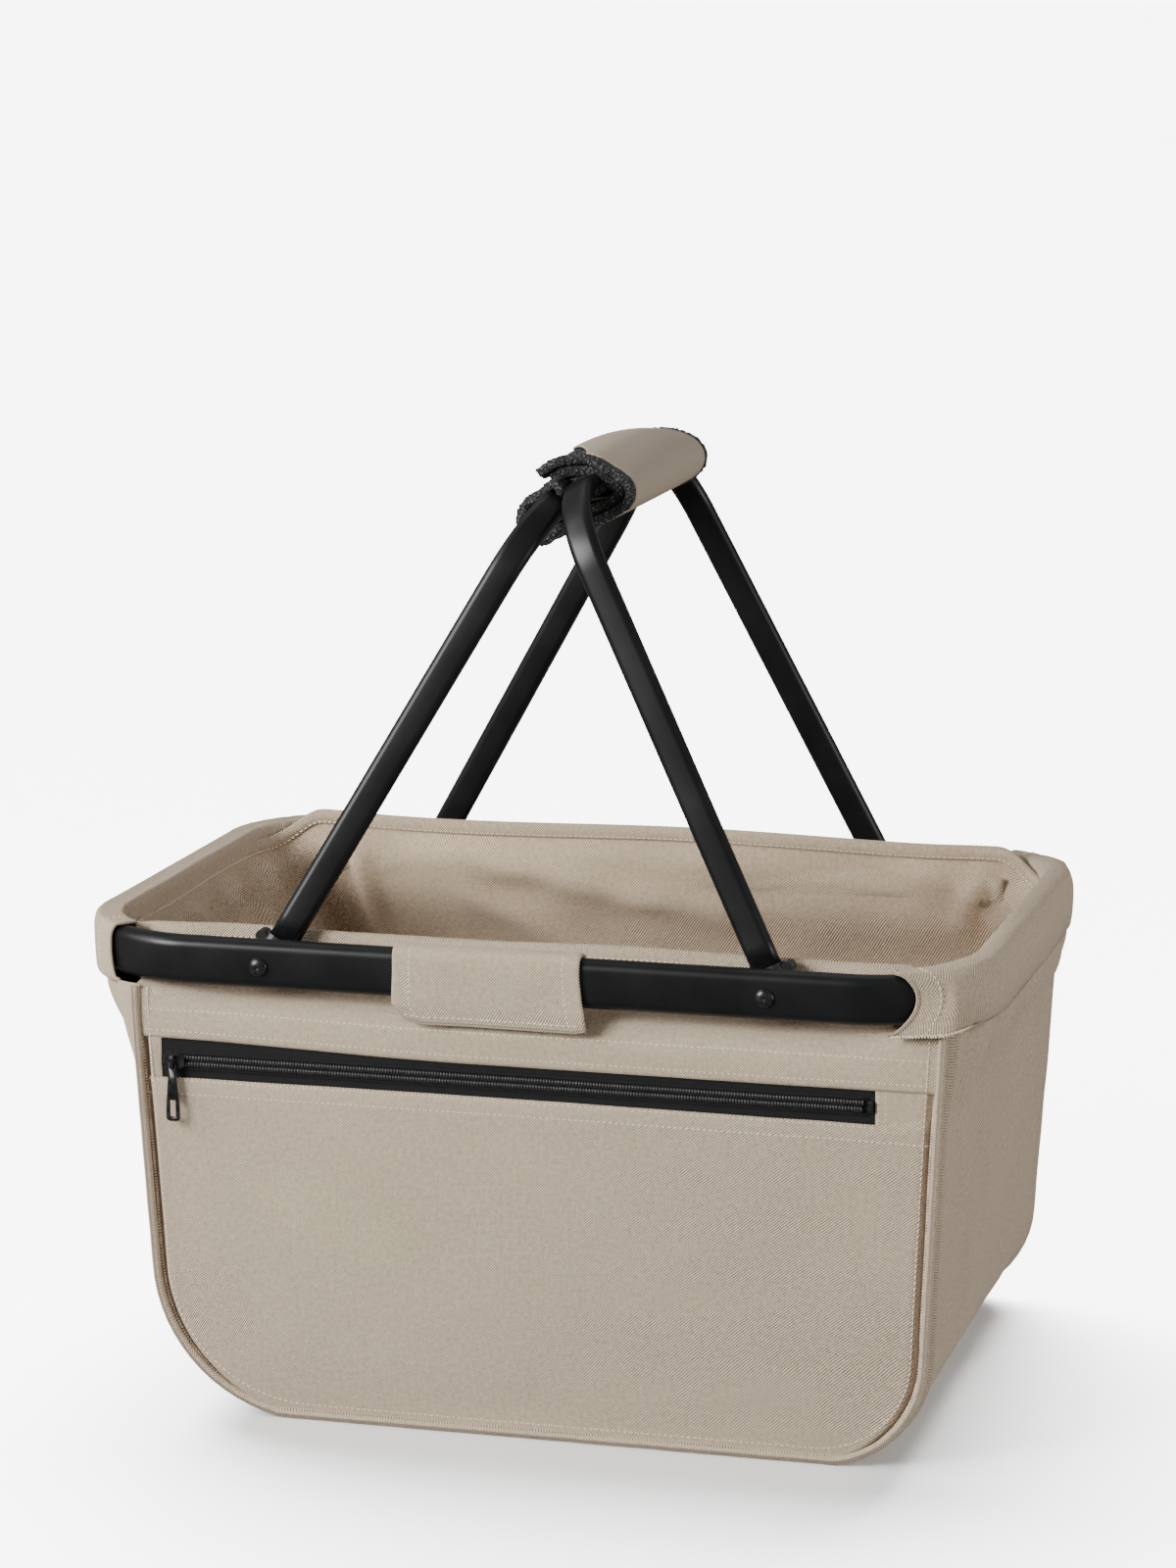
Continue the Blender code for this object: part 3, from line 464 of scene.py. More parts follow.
# satin powder paint: fine orange peel, faint dust and rubbed spots
PAINT = black_material("satin_black_paint", 0.36, ("Noise", 36.0, 6.0),
                       ((0.35, (0.0042, 0.0043, 0.0047)), (0.75, (0.0075, 0.0076, 0.0082))),
                       ("Noise", 900.0, 2.0), 0.08, rub=(0.16, 0.27), Specular_IOR_Level=0.26)
PLASTIC = black_material("moulded_black", 0.42, ("Noise", 60.0, 4.0),
                         ((0.3, (0.0055, 0.0055, 0.0060)), (0.8, (0.0105, 0.0105, 0.0110))),
                         ("Voronoi", 1500.0), 0.15)
# enamel on the zip's zinc parts, worn a little in scattered spots
ENAMEL = black_material("black_enamel", 0.28, ("Noise", 500.0, 4.0),
                        ((0.4, (0.013, 0.013, 0.014)), (0.85, (0.060, 0.058, 0.055))),
                        ("Noise", 500.0, 4.0), 0.10, Metallic=0.6)
NYLON = black_material("nylon_teeth", 0.18, ("Noise", 300.0, 3.0), ((0.3, grey(0.0300)), (0.8, grey(0.0550))),
                       ("Noise", 300.0, 3.0), 0.1)
PILE = pile_material()


# ---------------------------------------------------------------- the bag's shape
def side_x(sign, z):
    radius = BAG_CORNER[sign]
    half = BAG_HALF_LOW + BAG_SPREAD * min(z, BAG_TOP_Z)
    if z < radius:
        half -= radius - math.sqrt(max(radius ** 2 - (radius - z) ** 2, 0.0))
    return BAG_X + sign * half


def front_y(z):
    """Half depth of the bag's flat front and back at a height: they lean out a little."""
    return FRONT_LOW + (FRONT_HIGH - FRONT_LOW) * min(z, ZIP_HIGH) / ZIP_HIGH


# places across a wall, close together at both edges
NEAR_EDGE = np.array((0, 0.0025, 0.005, 0.0075, 0.010, 0.013, 0.016, 0.020, 0.025, 0.031))
FAR_EDGE = 1 - NEAR_EDGE[::-1]
EDGE_SPACING = np.concatenate((NEAR_EDGE, np.linspace(0.038, 0.962, 92), FAR_EDGE))


# pulled folds of the front wall, the end walls and the inside: start, end, width, height
FRONT_FOLDS = (((-0.170, 0.176), (-0.120, 0.120), 0.008, -0.0011),
               ((-0.150, 0.177), (-0.060, 0.140), 0.012, 0.0009),
               ((0.150, 0.176), (0.195, 0.130), 0.010, -0.0010))
END_FOLDS = (((-0.125, 0.215), (-0.060, 0.060), 0.012, 0.0040),
             ((-0.098, 0.220), (-0.020, 0.080), 0.010, -0.0036),
             ((0.120, 0.215), (0.040, 0.050), 0.013, -0.0042),
             ((0.080, 0.225), (0.010, 0.110), 0.010, 0.0034),
             ((0.135, 0.170), (0.075, 0.030), 0.010, 0.0030),
             ((-0.030, 0.220), (0.020, 0.150), 0.008, -0.0020))
INNER_BACK_FOLDS = (((-0.135, 0.247), (0.030, 0.216), 0.0062, 0.0125),
                    ((-0.125, 0.234), (-0.020, 0.170), 0.0110, 0.0110),
                    ((-0.100, 0.224), (-0.060, 0.222), 0.0040, -0.0050),
                    ((-0.150, 0.238), (-0.110, 0.150), 0.0090, -0.0080),
                    ((-0.172, 0.250), (-0.155, 0.150), 0.0050, 0.0080),
                    ((0.135, 0.247), (0.206, 0.226), 0.0055, 0.0095),
                    ((0.165, 0.238), (0.205, 0.218), 0.0050, -0.0060),
                    ((0.188, 0.252), (0.170, 0.215), 0.0045, 0.0070),
                    ((-0.060, 0.243), (0.100, 0.240), 0.0060, 0.0055),
                    ((0.020, 0.236), (0.190, 0.240), 0.0060, -0.0050))
INNER_END_FOLDS = (((0.108, 0.252), (0.075, 0.190), 0.0055, 0.0100),
                   ((0.078, 0.250), (0.066, 0.190), 0.0050, -0.0070),
                   ((0.058, 0.250), (0.020, 0.195), 0.0060, 0.0090),
                   ((0.020, 0.250), (0.030, 0.190), 0.0060, -0.0060),
                   ((-0.030, 0.248), (0.000, 0.205), 0.0070, 0.0075),
                   ((-0.090, 0.248), (-0.050, 0.205), 0.0070, 0.0070))


def front_belly(x, z):
    """How far the front wall stands out of its flat shape: a slight belly and soft ripples."""
    across = (x - BAG_X) / 0.2
    belly = 0.0030 * (1 - across ** 2) * math.sin(math.pi * min(max(z / 0.19, 0), 1))
    ripple = 0.0011 * soft_noise(x, z, 0.07, 1) + 0.0005 * soft_noise(x, z, 0.03, 2)
    return belly + (ripple + creases(x, z, FRONT_FOLDS)) * smooth(z, 0.0, 0.03)


def front_point(x, z, lift=0.0):
    """The front wall's face, with a groove just inside the piping."""
    edge = min(x - side_x(-1, z), side_x(1, z) - x)
    groove = bell(edge, 0.0046, 0.0013, 0.0036) - bell(edge, 0.0095, 0.0028, 0.0006)
    return Vector((x, -(front_y(z) + front_belly(x, z) + lift - groove), z))


def zip_top(x):
    """The zip sags a little: its upper edge is highest at the left end."""
    return 0.1958 + 0.0034 * smooth(-x, 0.03, 0.19)


def zip_bottom(x):
    """The zip's lower edge."""
    return 0.1790 - 0.0008 * (x / 0.18) ** 2


def build_pocket():
    """The big front panel below the zip, its top edge turned under."""
    rows = []
    for share in [(i / 46) ** 1.5 for i in range(47)]:
        row = []
        for t in EDGE_SPACING:
            z0 = share * 0.179
            x = mix(side_x(-1, z0), side_x(1, z0), t)
            z = share * zip_bottom(x)
            if x > ZIP_RIGHT:
                z += share * 0.0042 * smooth(x, ZIP_RIGHT, 0.214)
            row.append(front_point(x, z, 0.0005 * smooth(share, 0.97, 1.0)))
        rows.append(row)
    pocket = grid_object("pocket_cloth", rows, BEIGE, outward=(0, -1, 0))
    settle(pocket, "beige_cloth", "basket", "pocket_panel")


# (z, y) of the band above the zip between the bag's corners, and at them
BAND_PROFILE = spline(((ZIP_HIGH, FRONT_HIGH), (0.2050, 0.1592), (0.2130, 0.1572), (0.2190, 0.1515),
                       (0.2225, 0.1420), (0.2245, 0.1320), (0.2300, HEM_Y + 0.0012), (0.2400, HEM_Y),
                       (0.2515, HEM_Y)), 5)
BAND_EDGE_PROFILE = spline(((ZIP_HIGH, FRONT_HIGH), (0.2050, 0.1592), (0.2130, 0.1592), (0.2200, 0.1588),
                            (0.2242, 0.1570), (WALL_TOP, 0.1440), (0.2290, HEM_Y + 0.0040),
                            (0.2400, HEM_Y), (0.2515, HEM_Y)), 5)


def corner_share(x):
    """0 between the bag's corners, 1 at them."""
    return smooth(abs(x - BAG_X), 0.150, 0.202)


def along_profile(profile, place):
    """(z, y) at a share of a profile's points."""
    index = place * (len(profile) - 1)
    low = int(min(index, len(profile) - 2))
    return profile[low] + (profile[low + 1] - profile[low]) * (index - low)


def band_point(x, place):
    """The front wall above the zip: under the rim, then up inside it.  place runs 0 to 1.

    Between the bag's corners it dips in under the rim; near them it goes straight up to the sleeve.
    """
    edge = corner_share(x)
    z, y = mix(along_profile(BAND_PROFILE, place), along_profile(BAND_EDGE_PROFILE, place), edge)
    lower = 1 - smooth(place, 0.0, 0.5)
    z += (zip_top(x) - ZIP_HIGH) * lower
    slack = 0.0016 * soft_noise(x, z * 2, 0.035, 5) * smooth(place, 0.12, 0.5) * (1 - 0.6 * edge)
    droop = 0.0016 * crease(x, z, (-0.100, 0.212), (0.120, 0.207), 0.004, 1.0)
    return Vector((x, -(y + front_belly(x, z) * lower + slack + droop), z))


def build_band():
    """The front wall above the zip; it narrows where it stands up inside the rim."""
    rows = []
    for i in range(37):
        place = i / 36
        narrow = smooth(place, 0.62, 0.80)
        z = band_point(0, place).z
        left, right = (mix(side_x(sign, z), sign * BAND_HALF, narrow) for sign in (-1, 1))
        rows.append([band_point(mix(left, right, t), place) for t in EDGE_SPACING])
    band = grid_object("front_band_cloth", rows, BEIGE, outward=(0, -1, 0.2))
    settle(band, "beige_cloth", "basket", "pocket_band")


# the end walls' top edges, by y: distance out along X
TOP_EDGE = {
    1: ((-0.160, 0.2192), (-0.152, 0.2232), (-0.142, 0.2270), (-0.130, 0.2303), (-0.118, 0.2326),
        (-0.105, 0.2342), (-0.090, 0.2352), (-0.070, 0.2356), (0.070, 0.2356), (0.090, 0.2348),
        (0.105, 0.2332), (0.118, 0.2306), (0.130, 0.2272), (0.142, 0.2220), (0.150, 0.2160)),
    -1: ((-0.160, 0.1982), (-0.1545, 0.2055), (-0.144, 0.2145), (-0.130, 0.2225), (-0.115, 0.2285),
         (-0.100, 0.2322), (-0.085, 0.2336), (0.085, 0.2336), (0.100, 0.2322), (0.115, 0.2285),
         (0.130, 0.2225), (0.142, 0.2145), (0.150, 0.1990)),
}


def seam_ridge(distance):
    """The seam allowance under an end wall's cloth: a groove by the piping, then a soft ridge."""
    return bell(distance, 0.0062, 0.0030, 0.0024) - bell(distance, 0.0, 0.0020, 0.0036)


def side_wall(sign, across, z):
    """A point of an end wall: across 0 at the front piping, 1 at the back; it flares out to the rim."""
    reach = front_y(min(z, 0.2))
    y = mix(-reach, reach, across)
    x = side_x(sign, z)
    flare = smooth(z, FLARE_LOW, WALL_TOP)
    rim_x, rim_y = rim_line(sign, across)
    out_x = mix(x, sign * rim_x, flare)
    out_y = mix(y, rim_y, flare)
    middle = smooth(z, 0.02, 0.10) * (1 - smooth(z, 0.16, 0.225))
    out_x += sign * 0.0050 * math.sin(math.pi * across) * middle
    ridge = (seam_ridge(across * 0.31) + seam_ridge((1 - across) * 0.31)) * smooth(z, 0.002, 0.015)
    return Vector((out_x + sign * (side_creases(across, z, sign) + ridge), out_y, z))


def rim_line(sign, across):
    """X and Y of an end wall's top edge, where it runs in under the sleeve."""
    y = mix(-0.160, 0.150, across)
    edge = TOP_EDGE[sign]
    return float(np.interp(y, [p[0] for p in edge], [p[1] for p in edge])), y


def side_creases(across, z, sign):
    """Long soft folds that run down from the rim's corners, and small gathers under the sleeve."""
    y = (across - 0.5) * 0.3
    value = creases(y, z, END_FOLDS)
    gathers = 0.0012 * math.sin(y * 260 + 2.0 * sign) * smooth(z, 0.175, 0.222)
    ripple = 0.0020 * soft_noise(y, z, 0.055, 11 + sign) + 0.0008 * soft_noise(y, z, 0.022, 17)
    edge = smooth(across, 0.0, 0.10) * (1 - smooth(across, 0.90, 1.0))
    return (value + gathers + ripple) * smooth(z, 0.01, 0.06) * mix(0.35, 1.0, edge)


def gusset_route():
    """(sign, z) down the left end, and up the right end, in order."""
    low = {sign: radius * (1 - np.cos(np.linspace(0.0, 1.45, count)))
           for (sign, radius), count in zip(BAG_CORNER.items(), (14, 12))}
    left = np.concatenate((np.linspace(WALL_TOP, 0.08, 40), low[-1][::-1]))
    right = np.concatenate((low[1], np.linspace(0.056, WALL_TOP, 46)))
    return [(-1, z) for z in left], [(1, z) for z in right]


def gusset_rows():
    """Rows across the strip: down the left end, along the floor and up the right end."""
    left, right = gusset_route()
    columns = np.concatenate((NEAR_EDGE, np.linspace(0.045, 0.955, 60), FAR_EDGE))
    rows = [[side_wall(sign, a, float(z)) for a in columns] for sign, z in left]
    x_from, x_to = side_x(-1, 0.0), side_x(1, 0.0)
    for step in range(1, 14):
        x = mix(x_from, x_to, step / 14)
        rows.append([Vector((x, mix(-FRONT_LOW, FRONT_LOW, a), 0.0)) for a in columns])
    rows += [[side_wall(sign, a, float(z)) for a in columns] for sign, z in right]
    return rows


def build_gusset():
    """One strip of cloth that is both end walls and the floor."""
    rows = gusset_rows()
    gusset = grid_object("gusset_cloth", rows, BEIGE, outward=lambda p: Vector((p.x - BAG_X, 0, p.z - 0.15)))
    settle(gusset, "beige_cloth", "basket", "gusset")


# (z, y) of the back wall between the bag's corners, and at them
BACK_PROFILE = ((0.0, FRONT_LOW), (0.196, FRONT_HIGH), (0.207, 0.1585), (0.2155, 0.1530), (0.2215, 0.1430),
                (0.2248, 0.1320), (0.232, HEM_Y), (0.262, HEM_Y))
BACK_EDGE_PROFILE = ((0.0, FRONT_LOW), (0.172, 0.1579), (0.196, 0.1560), (0.218, 0.1510), (0.2242, 0.1495),
                     (WALL_TOP, 0.1400), (0.2266, 0.1320), (0.232, HEM_Y), (0.262, HEM_Y))


def back_point(x, z):
    """The back wall's outer face; above the rim it stands up inside the tube."""
    flat, edge = (float(np.interp(z, *zip(*route))) for route in (BACK_PROFILE, BACK_EDGE_PROFILE))
    y = mix(flat, edge, corner_share(x))
    low = 1 - smooth(z, 0.19, 0.22)
    belly = 0.0025 * (1 - ((x - BAG_X) / 0.2) ** 2) * math.sin(math.pi * min(max(z / 0.2, 0), 1)) * low
    ripple = 0.0012 * soft_noise(x, z, 0.06, 31) * low * smooth(z, 0, 0.03)
    return Vector((x, y + belly + ripple, z))


def build_back():
    """The back wall, from the floor up to the hem."""
    rows = []
    heights = [0.2 * (i / 34) ** 1.5 for i in range(35)]
    heights += [0.205, 0.210, 0.214, 0.218, 0.221, 0.2242, 0.2254, 0.2262, 0.2268, 0.229, 0.232, 0.237, 0.244]
    for z in heights:
        narrow = smooth(z, WALL_TOP, 0.232)
        left, right = (mix(side_x(sign, z), sign * BAND_HALF, narrow) for sign in (-1, 1))
        rows.append([back_point(mix(left, right, c / 90), z) for c in range(91)])
    back = grid_object("back_cloth", rows, BEIGE, outward=(0, 1, 0))
    settle(back, "beige_cloth", "basket", "back_panel")


# ---------------------------------------------------------------- inner shell
def top_ring(count):
    """The inner hem seen from above, anticlockwise from the middle of the right end."""
    quarter = ((0.2224, 0.0), (0.2224, 0.050), (0.2220, 0.086), (0.2175, 0.1115), (0.2030, 0.1275),
               (0.1790, 0.1300), (0.1500, 0.1270), (0.0700, 0.1264), (0.0, 0.1266))
    points = list(quarter)
    points += [(-x, y) for x, y in quarter[-2::-1]]
    points += [(x, -y) for x, y in points[-2:0:-1]]
    points.append(quarter[0])
    return resample(spline(points, 8), count + 1)[:-1]


def box_ring(count, z):
    """The bag's inside at a height: straight walls with small round corners, same start and sense."""
    left, right = side_x(-1, z) + 0.0022, side_x(1, z) - 0.0022
    depth = front_y(z) - 0.0042
    radius = 0.010
    points = [(right, 0.0)]
    corners = ((right, depth, 0), (left, depth, 90), (left, -depth, 180), (right, -depth, 270))
    for x, y, start in corners:
        cx = x - math.copysign(radius, x - BAG_X)
        cy = y - math.copysign(radius, y)
        for step in range(5):
            turn = math.radians(start + 22.5 * step)
            points.append((cx + radius * math.cos(turn), cy + radius * math.sin(turn)))
    points.append((right, 0.0))
    return resample(np.array(points), count + 1)[:-1]


def hem_height(x, y):
    """The hem stands higher at the back than at the front, and ends below the sleeves' shoulders."""
    back = smooth(y, 0.02, 0.12)
    end = smooth(abs(x), 0.192, 0.2185)
    front = HEM_FRONT + 0.0010 * math.sin(x * 30)
    rise = mix(front, HEM_BACK + 0.0012 * math.sin(x * 22 + 1), back)
    return mix(rise, HEM_END + 0.0006 * math.sin(y * 40), end)


def inner_fold(x, y, z):
    """How far the inside cloth hangs in from its wall.

    The channel that the rim lies in stands in as a soft roll under the hem, with a crease below it.
    """
    below = hem_height(x, y) - z
    roll = 0.0052 * smooth(below, 0.004, 0.018) * (1 - smooth(below, 0.0225, 0.0275))
    uneven = 0.75 + 0.9 * soft_noise(x * 1.3, y * 1.3, 0.06, 45)
    value = roll * max(uneven, 0.1) + 0.0012
    if y > 0.06:
        value += creases(x, z, INNER_BACK_FOLDS)
    if abs(x) > 0.17:
        value += creases(y, z, INNER_END_FOLDS)
    value += 0.0026 * soft_noise(x + y * 1.7, z * 1.4, 0.04, 41)
    edge = smooth(below, 0.0065, 0.0180)
    return max(value, 0.0) * smooth(z, 0.03, 0.12) * edge


def inner_ring(count, share):
    """One ring of the inner shell: share 0 on the floor, 1 at the hem."""
    flat = top_ring(count)
    middle = box_ring(count, mix(FLOOR_Z, 0.2555, share))
    ring = []
    for (hem_x, hem_y), (low_x, low_y) in zip(flat, middle):
        z = mix(FLOOR_Z, hem_height(hem_x, hem_y), share)
        pull = smooth(z, 0.170, 0.2290)
        x = mix(low_x, hem_x, pull)
        y = mix(low_y, hem_y, pull)
        turn = smooth(abs(x) - abs(y), 0.060, 0.115)
        inward = Vector((-math.copysign(turn, x), -math.copysign(1 - turn, y), 0))
        inward.normalize()
        ring.append(Vector((x, y, z)) + inward * inner_fold(x, y, z))
    return ring


INNER_COUNT = 360        # points round the inside


def build_inner():
    """The inside of the bag, one closed band of cloth from the floor to the hem."""
    shares = [(i / 40) ** 1.25 for i in range(41)]
    rows = [inner_ring(INNER_COUNT, s) for s in shares]
    perimeter = line_length(np.array([tuple(p) for p in rows[-1]]))
    uv_rows = [[(perimeter * c / INNER_COUNT, 0.255 * s) for c in range(INNER_COUNT)] for s in shares]
    inner = grid_object("inner_cloth", rows, LINING, 0.0011, uv_rows=uv_rows, closed=True,
                        outward=lambda p: Vector((-p.x, -p.y, 0)))
    settle(inner, "beige_cloth", "basket", "front_lining")
    return rows


def build_floor_cloth():
    """The cloth lying on the base board inside the bag."""
    rows = []
    for i in range(40):
        y = mix(-0.1520, 0.1520, i / 39)
        row = []
        for j in range(56):
            x = mix(side_x(-1, 0.006) + 0.004, side_x(1, 0.006) - 0.004, j / 55)
            row.append(Vector((x, y, 0.0052 + 0.0006 * soft_noise(x, y, 0.05, 91))))
        rows.append(row)
    cloth = grid_object("floor_cloth", rows, LINING, 0.0009, outward=(0, 0, 1))
    settle(cloth, "beige_cloth", "basket")


def build_hem(rows):
    """The turned and stitched edge of the inner cloth, flat and crisp."""
    top = rows[-1]
    count = len(top)
    section = ((0.0020, -0.0170), (0.0022, -0.0060), (0.0020, 0.0002), (0.0006, 0.0012), (-0.0007, 0.0003),
               (-0.0009, -0.0068))
    lip_rows = [[] for _ in section]
    inside, outside = [], []
    for i, p in enumerate(top):
        ahead = top[(i + 1) % count] - top[i - 1]
        out = Vector((ahead.y, -ahead.x, 0)).normalized()
        for row, (side, up) in zip(lip_rows, section):
            row.append(p + out * side + Vector((0, 0, up)))
        inside.append((p - out * 0.0010 + Vector((0, 0, -0.0058)), -out))
        outside.append((p + out * 0.0026 + Vector((0, 0, -0.0056)), out))
    hem = grid_object("hem_cloth", lip_rows, BEIGE, 0.0006, closed=True, outward=lambda p: Vector((0, 0, 1)))
    settle(hem, "beige_cloth", "basket")
    return [inside + inside[:1], outside + outside[:1]]


# ---------------------------------------------------------------- sleeves
def sleeve_place(side, run):
    """The rim's middle line round one end: a point, its outward direction, and the whole length."""
    arc, back_arc = (RIM_BEND * math.acos((limit - CORNER_X) / RIM_BEND)
                     for limit in (SLEEVE_START[side], SLEEVE_BACK))
    straight = 2 * CORNER_Y
    total = arc + straight + back_arc
    if arc <= run <= arc + straight:
        point = Vector((SIGN[side] * (CORNER_X + RIM_BEND), run - arc - CORNER_Y, RIM_Z))
        return point, Vector((SIGN[side], 0, 0)), total
    front = run < arc
    turn = (run - arc - (0 if front else straight)) / RIM_BEND
    out = Vector((SIGN[side] * math.cos(turn), math.sin(turn), 0))
    centre = Vector((SIGN[side] * CORNER_X, -CORNER_Y if front else CORNER_Y, RIM_Z))
    return centre + out * RIM_BEND, out, total


# lower edge of each sleeve, front to back: (distance out along X, y, z)
SKIRT = {
    "right": ((0.1970, -0.1612, 0.2244), (0.2110, -0.1622, 0.2254), (0.2196, -0.1632, 0.2260),
              (0.2240, -0.1590, 0.2266), (0.2285, -0.1460, 0.2270), (0.2330, -0.1250, 0.2270),
              (0.2360, -0.0960, 0.2266), (0.2366, -0.0500, 0.2262), (0.2366, 0.0500, 0.2262),
              (0.2360, 0.0880, 0.2266), (0.2338, 0.1100, 0.2268), (0.2290, 0.1300, 0.2268),
              (0.2215, 0.1450, 0.2266), (0.2150, 0.1520, 0.2262), (0.1945, 0.1560, 0.2260)),
    "left": ((0.2085, -0.1525, 0.2262), (0.2150, -0.1480, 0.2260), (0.2238, -0.1340, 0.2262),
             (0.2300, -0.1170, 0.2264), (0.2342, -0.1010, 0.2264), (0.2352, -0.0860, 0.2262),
             (0.2354, 0.0000, 0.2262), (0.2352, 0.0860, 0.2262), (0.2342, 0.1010, 0.2264),
             (0.2300, 0.1170, 0.2264), (0.2238, 0.1340, 0.2262), (0.2150, 0.1470, 0.2260),
             (0.1945, 0.1560, 0.2262)),
}


def skirt_line(side, count):
    """The lower edge of a sleeve, from its front end round to its back end."""
    line = resample(spline(SKIRT[side], 6), count)
    line[:, 0] *= SIGN[side]
    return line


# a sleeve's section over the tube: (distance out, height) from its outer foot over the top
SLEEVE_SECTION = spline(((0.0080, -0.0150), (0.0082, -0.0060), (0.0083, 0.0060), (0.0072, 0.0128),
                         (0.0030, 0.0160), (-0.0020, 0.0162), (-0.0062, 0.0135), (-0.0080, 0.0080),
                         (-0.0082, -0.0040), (-0.0082, -0.0150)), 4)
SKIRT_ROWS = 8           # points of a sleeve's row between its lower edge and that section
DRAWN_ROWS = 22          # points over which a row blends from its lower edge into the section
# how far the front end's edge curves back, how loose the cloth is, and if only its ends hug the tube
SLEEVE_FIT = {"left": (0.0016, 0.0006, False), "right": (0.0050, 0.0014, True)}


def sleeve_row(side, run, total, hem):
    """One row across a sleeve: from its lower edge, drawn in over the tube, and down inside."""
    notch, looseness, ends_hug = SLEEVE_FIT[side]
    edge = min(run, total - run)
    tight = 1 - smooth(edge, 0.004, 0.040)
    near_front = 1 - smooth(run, 0.0, 0.030)
    hug = tight if ends_hug else 1.0
    gathered = 0.0009 * smooth(edge, 0.0, 0.01) * (1 - smooth(edge, 0.02, 0.10))
    row = []
    for j in range(-SKIRT_ROWS, len(SLEEVE_SECTION)):
        a, b = SLEEVE_SECTION[max(j, 0)]
        around = max(j, 0) / (len(SLEEVE_SECTION) - 1)
        drawn = (SKIRT_ROWS + j) / DRAWN_ROWS
        height = b if drawn >= 1 else mix(-0.017, b, drawn)
        shift = notch * (1 - (height / 0.0115) ** 2) * near_front if a > 0 else -notch * near_front
        point, out, _ = sleeve_place(side, run + shift)
        pucker = gathered * math.sin(run * 330 + 5 * around)
        slack = looseness * soft_noise(run, around * 0.08, 0.03, 51 + SIGN[side])
        a = mix(a, math.copysign(min(abs(a), 0.0076), a), hug)
        b = mix(b, min(b, 0.0141), hug)
        a_out = a + math.copysign(pucker + abs(slack) * (1 - tight), a) * smooth(abs(a), 0.0, 0.004)
        up = b + 0.5 * slack * (1 - tight) * smooth(around, 0.1, 0.5)
        spot = point + out * a_out + Vector((0, 0, up))
        if drawn < 1:
            start = hem + Vector((0, 0, 0.0008 * math.sin(run * 60)))
            start += (point - sleeve_place(side, run)[0])
            spot = start.lerp(spot, drawn ** 0.9) + out * (0.0012 * math.sin(math.pi * drawn))
        row.append(spot)
    return row


def build_sleeve(side):
    """Cloth folded over the tube: a skirt drawn out to the bag's corners, a round top, an inner fall."""
    steps = 110
    skirt = skirt_line(side, steps + 1)
    total = sleeve_place(side, 0.0)[2]
    runs = [total * i / steps for i in range(steps + 1)]
    rows = [sleeve_row(side, run, total, Vector(hem)) for run, hem in zip(runs, skirt)]
    middles = [sleeve_place(side, run)[:2] for run in runs]
    sleeve = grid_object("sleeve_cloth_" + side, rows, BEIGE, 0.0011,
                         outward=lambda p: Vector((p.x, p.y * 1.2, 0)) * (1 if p.z < 0.236 else 0))
    settle(sleeve, "beige_cloth", "basket", "end_sleeve_" + side)
    lip_line = [p + (middles[0][0] - p).normalized() * 0.0004 for p in rows[0][:-12]]
    lip = tube_object("sleeve_lip_" + side, lip_line, 0.0010, BEIGE, 8)
    settle(lip, "beige_cloth", "basket")
    routes = []
    for place in (4, steps - 4):
        middle = middles[place][0]
        routes.append([(p, (p - middle).normalized()) for p in rows[place][2:-14]])
    routes.append([(row[2], item[1]) for row, item in zip(rows, middles)])
    return routes


# ---------------------------------------------------------------- tabs
# a tab's section over the tube: (distance out, height) from its outer hem over the top
TAB_SECTION = spline(((0.0066, -0.0240), (0.0074, -0.0180), (0.0079, -0.0120), (0.0080, 0.0040),
                      (0.0074, 0.0112), (0.0040, 0.0142), (-0.0020, 0.0146), (-0.0064, 0.0118),
                      (-0.0074, 0.0060), (-0.0075, -0.0120)), 5)


def build_tab(end):
    """A cloth strap folded over the rim; its hem pulls askew."""
    sign = -1 if end == "front" else 1
    middle_y = RIM_HALF_DEPTH - RIM_THICK / 2
    columns = 57
    rows = []
    for j, (a, b) in enumerate(TAB_SECTION):
        outer = j < len(TAB_SECTION) / 2
        hang = 1 - smooth(b, -0.0240, 0.006) if outer else 0.0
        low = 1 - smooth(b, -0.0240, -0.0110) if outer else 0.0
        row = []
        for c in range(columns):
            t = c / (columns - 1)
            x = mix(-0.0592 + 0.0062 * low ** 1.6, 0.0368 + 0.0034 * hang, t)
            lift = 0.0022 * hang * (2 * t - 1) ** 2 + 0.0008 * soft_noise(x, b, 0.02, 61)
            curl = 0.0016 * low * (1 - smooth(t, 0.0, 0.10)) + 0.0012 * low * smooth(t, 0.93, 1.0)
            row.append(Vector((x, sign * (middle_y + a + (lift if a > 0 else 0)), RIM_Z + b + curl)))
        rows.append(row)
    tab = grid_object("tab_cloth_" + end, rows, BEIGE, 0.0013,
                      outward=lambda p: Vector((0, sign, 0)) * (1 if abs(p.y) > middle_y else -1))
    settle(tab, "beige_cloth", "basket", "tab_" + end)
    hem_line = [p + Vector((0, -sign * 0.0006, 0.0006)) for p in rows[0]]
    hem = tube_object("tab_hem_" + end, hem_line, 0.0011, BEIGE, 8)
    settle(hem, "beige_cloth", "basket")
    routes = []
    face = Vector((0, sign, 0))
    for column in (5, columns - 6):
        routes.append([(rows[j][column], face if j < 22 else Vector((0, 0, 1))) for j in range(3, 26)])
    routes.append([(rows[3][c], face) for c in range(1, columns - 1)])
    return routes


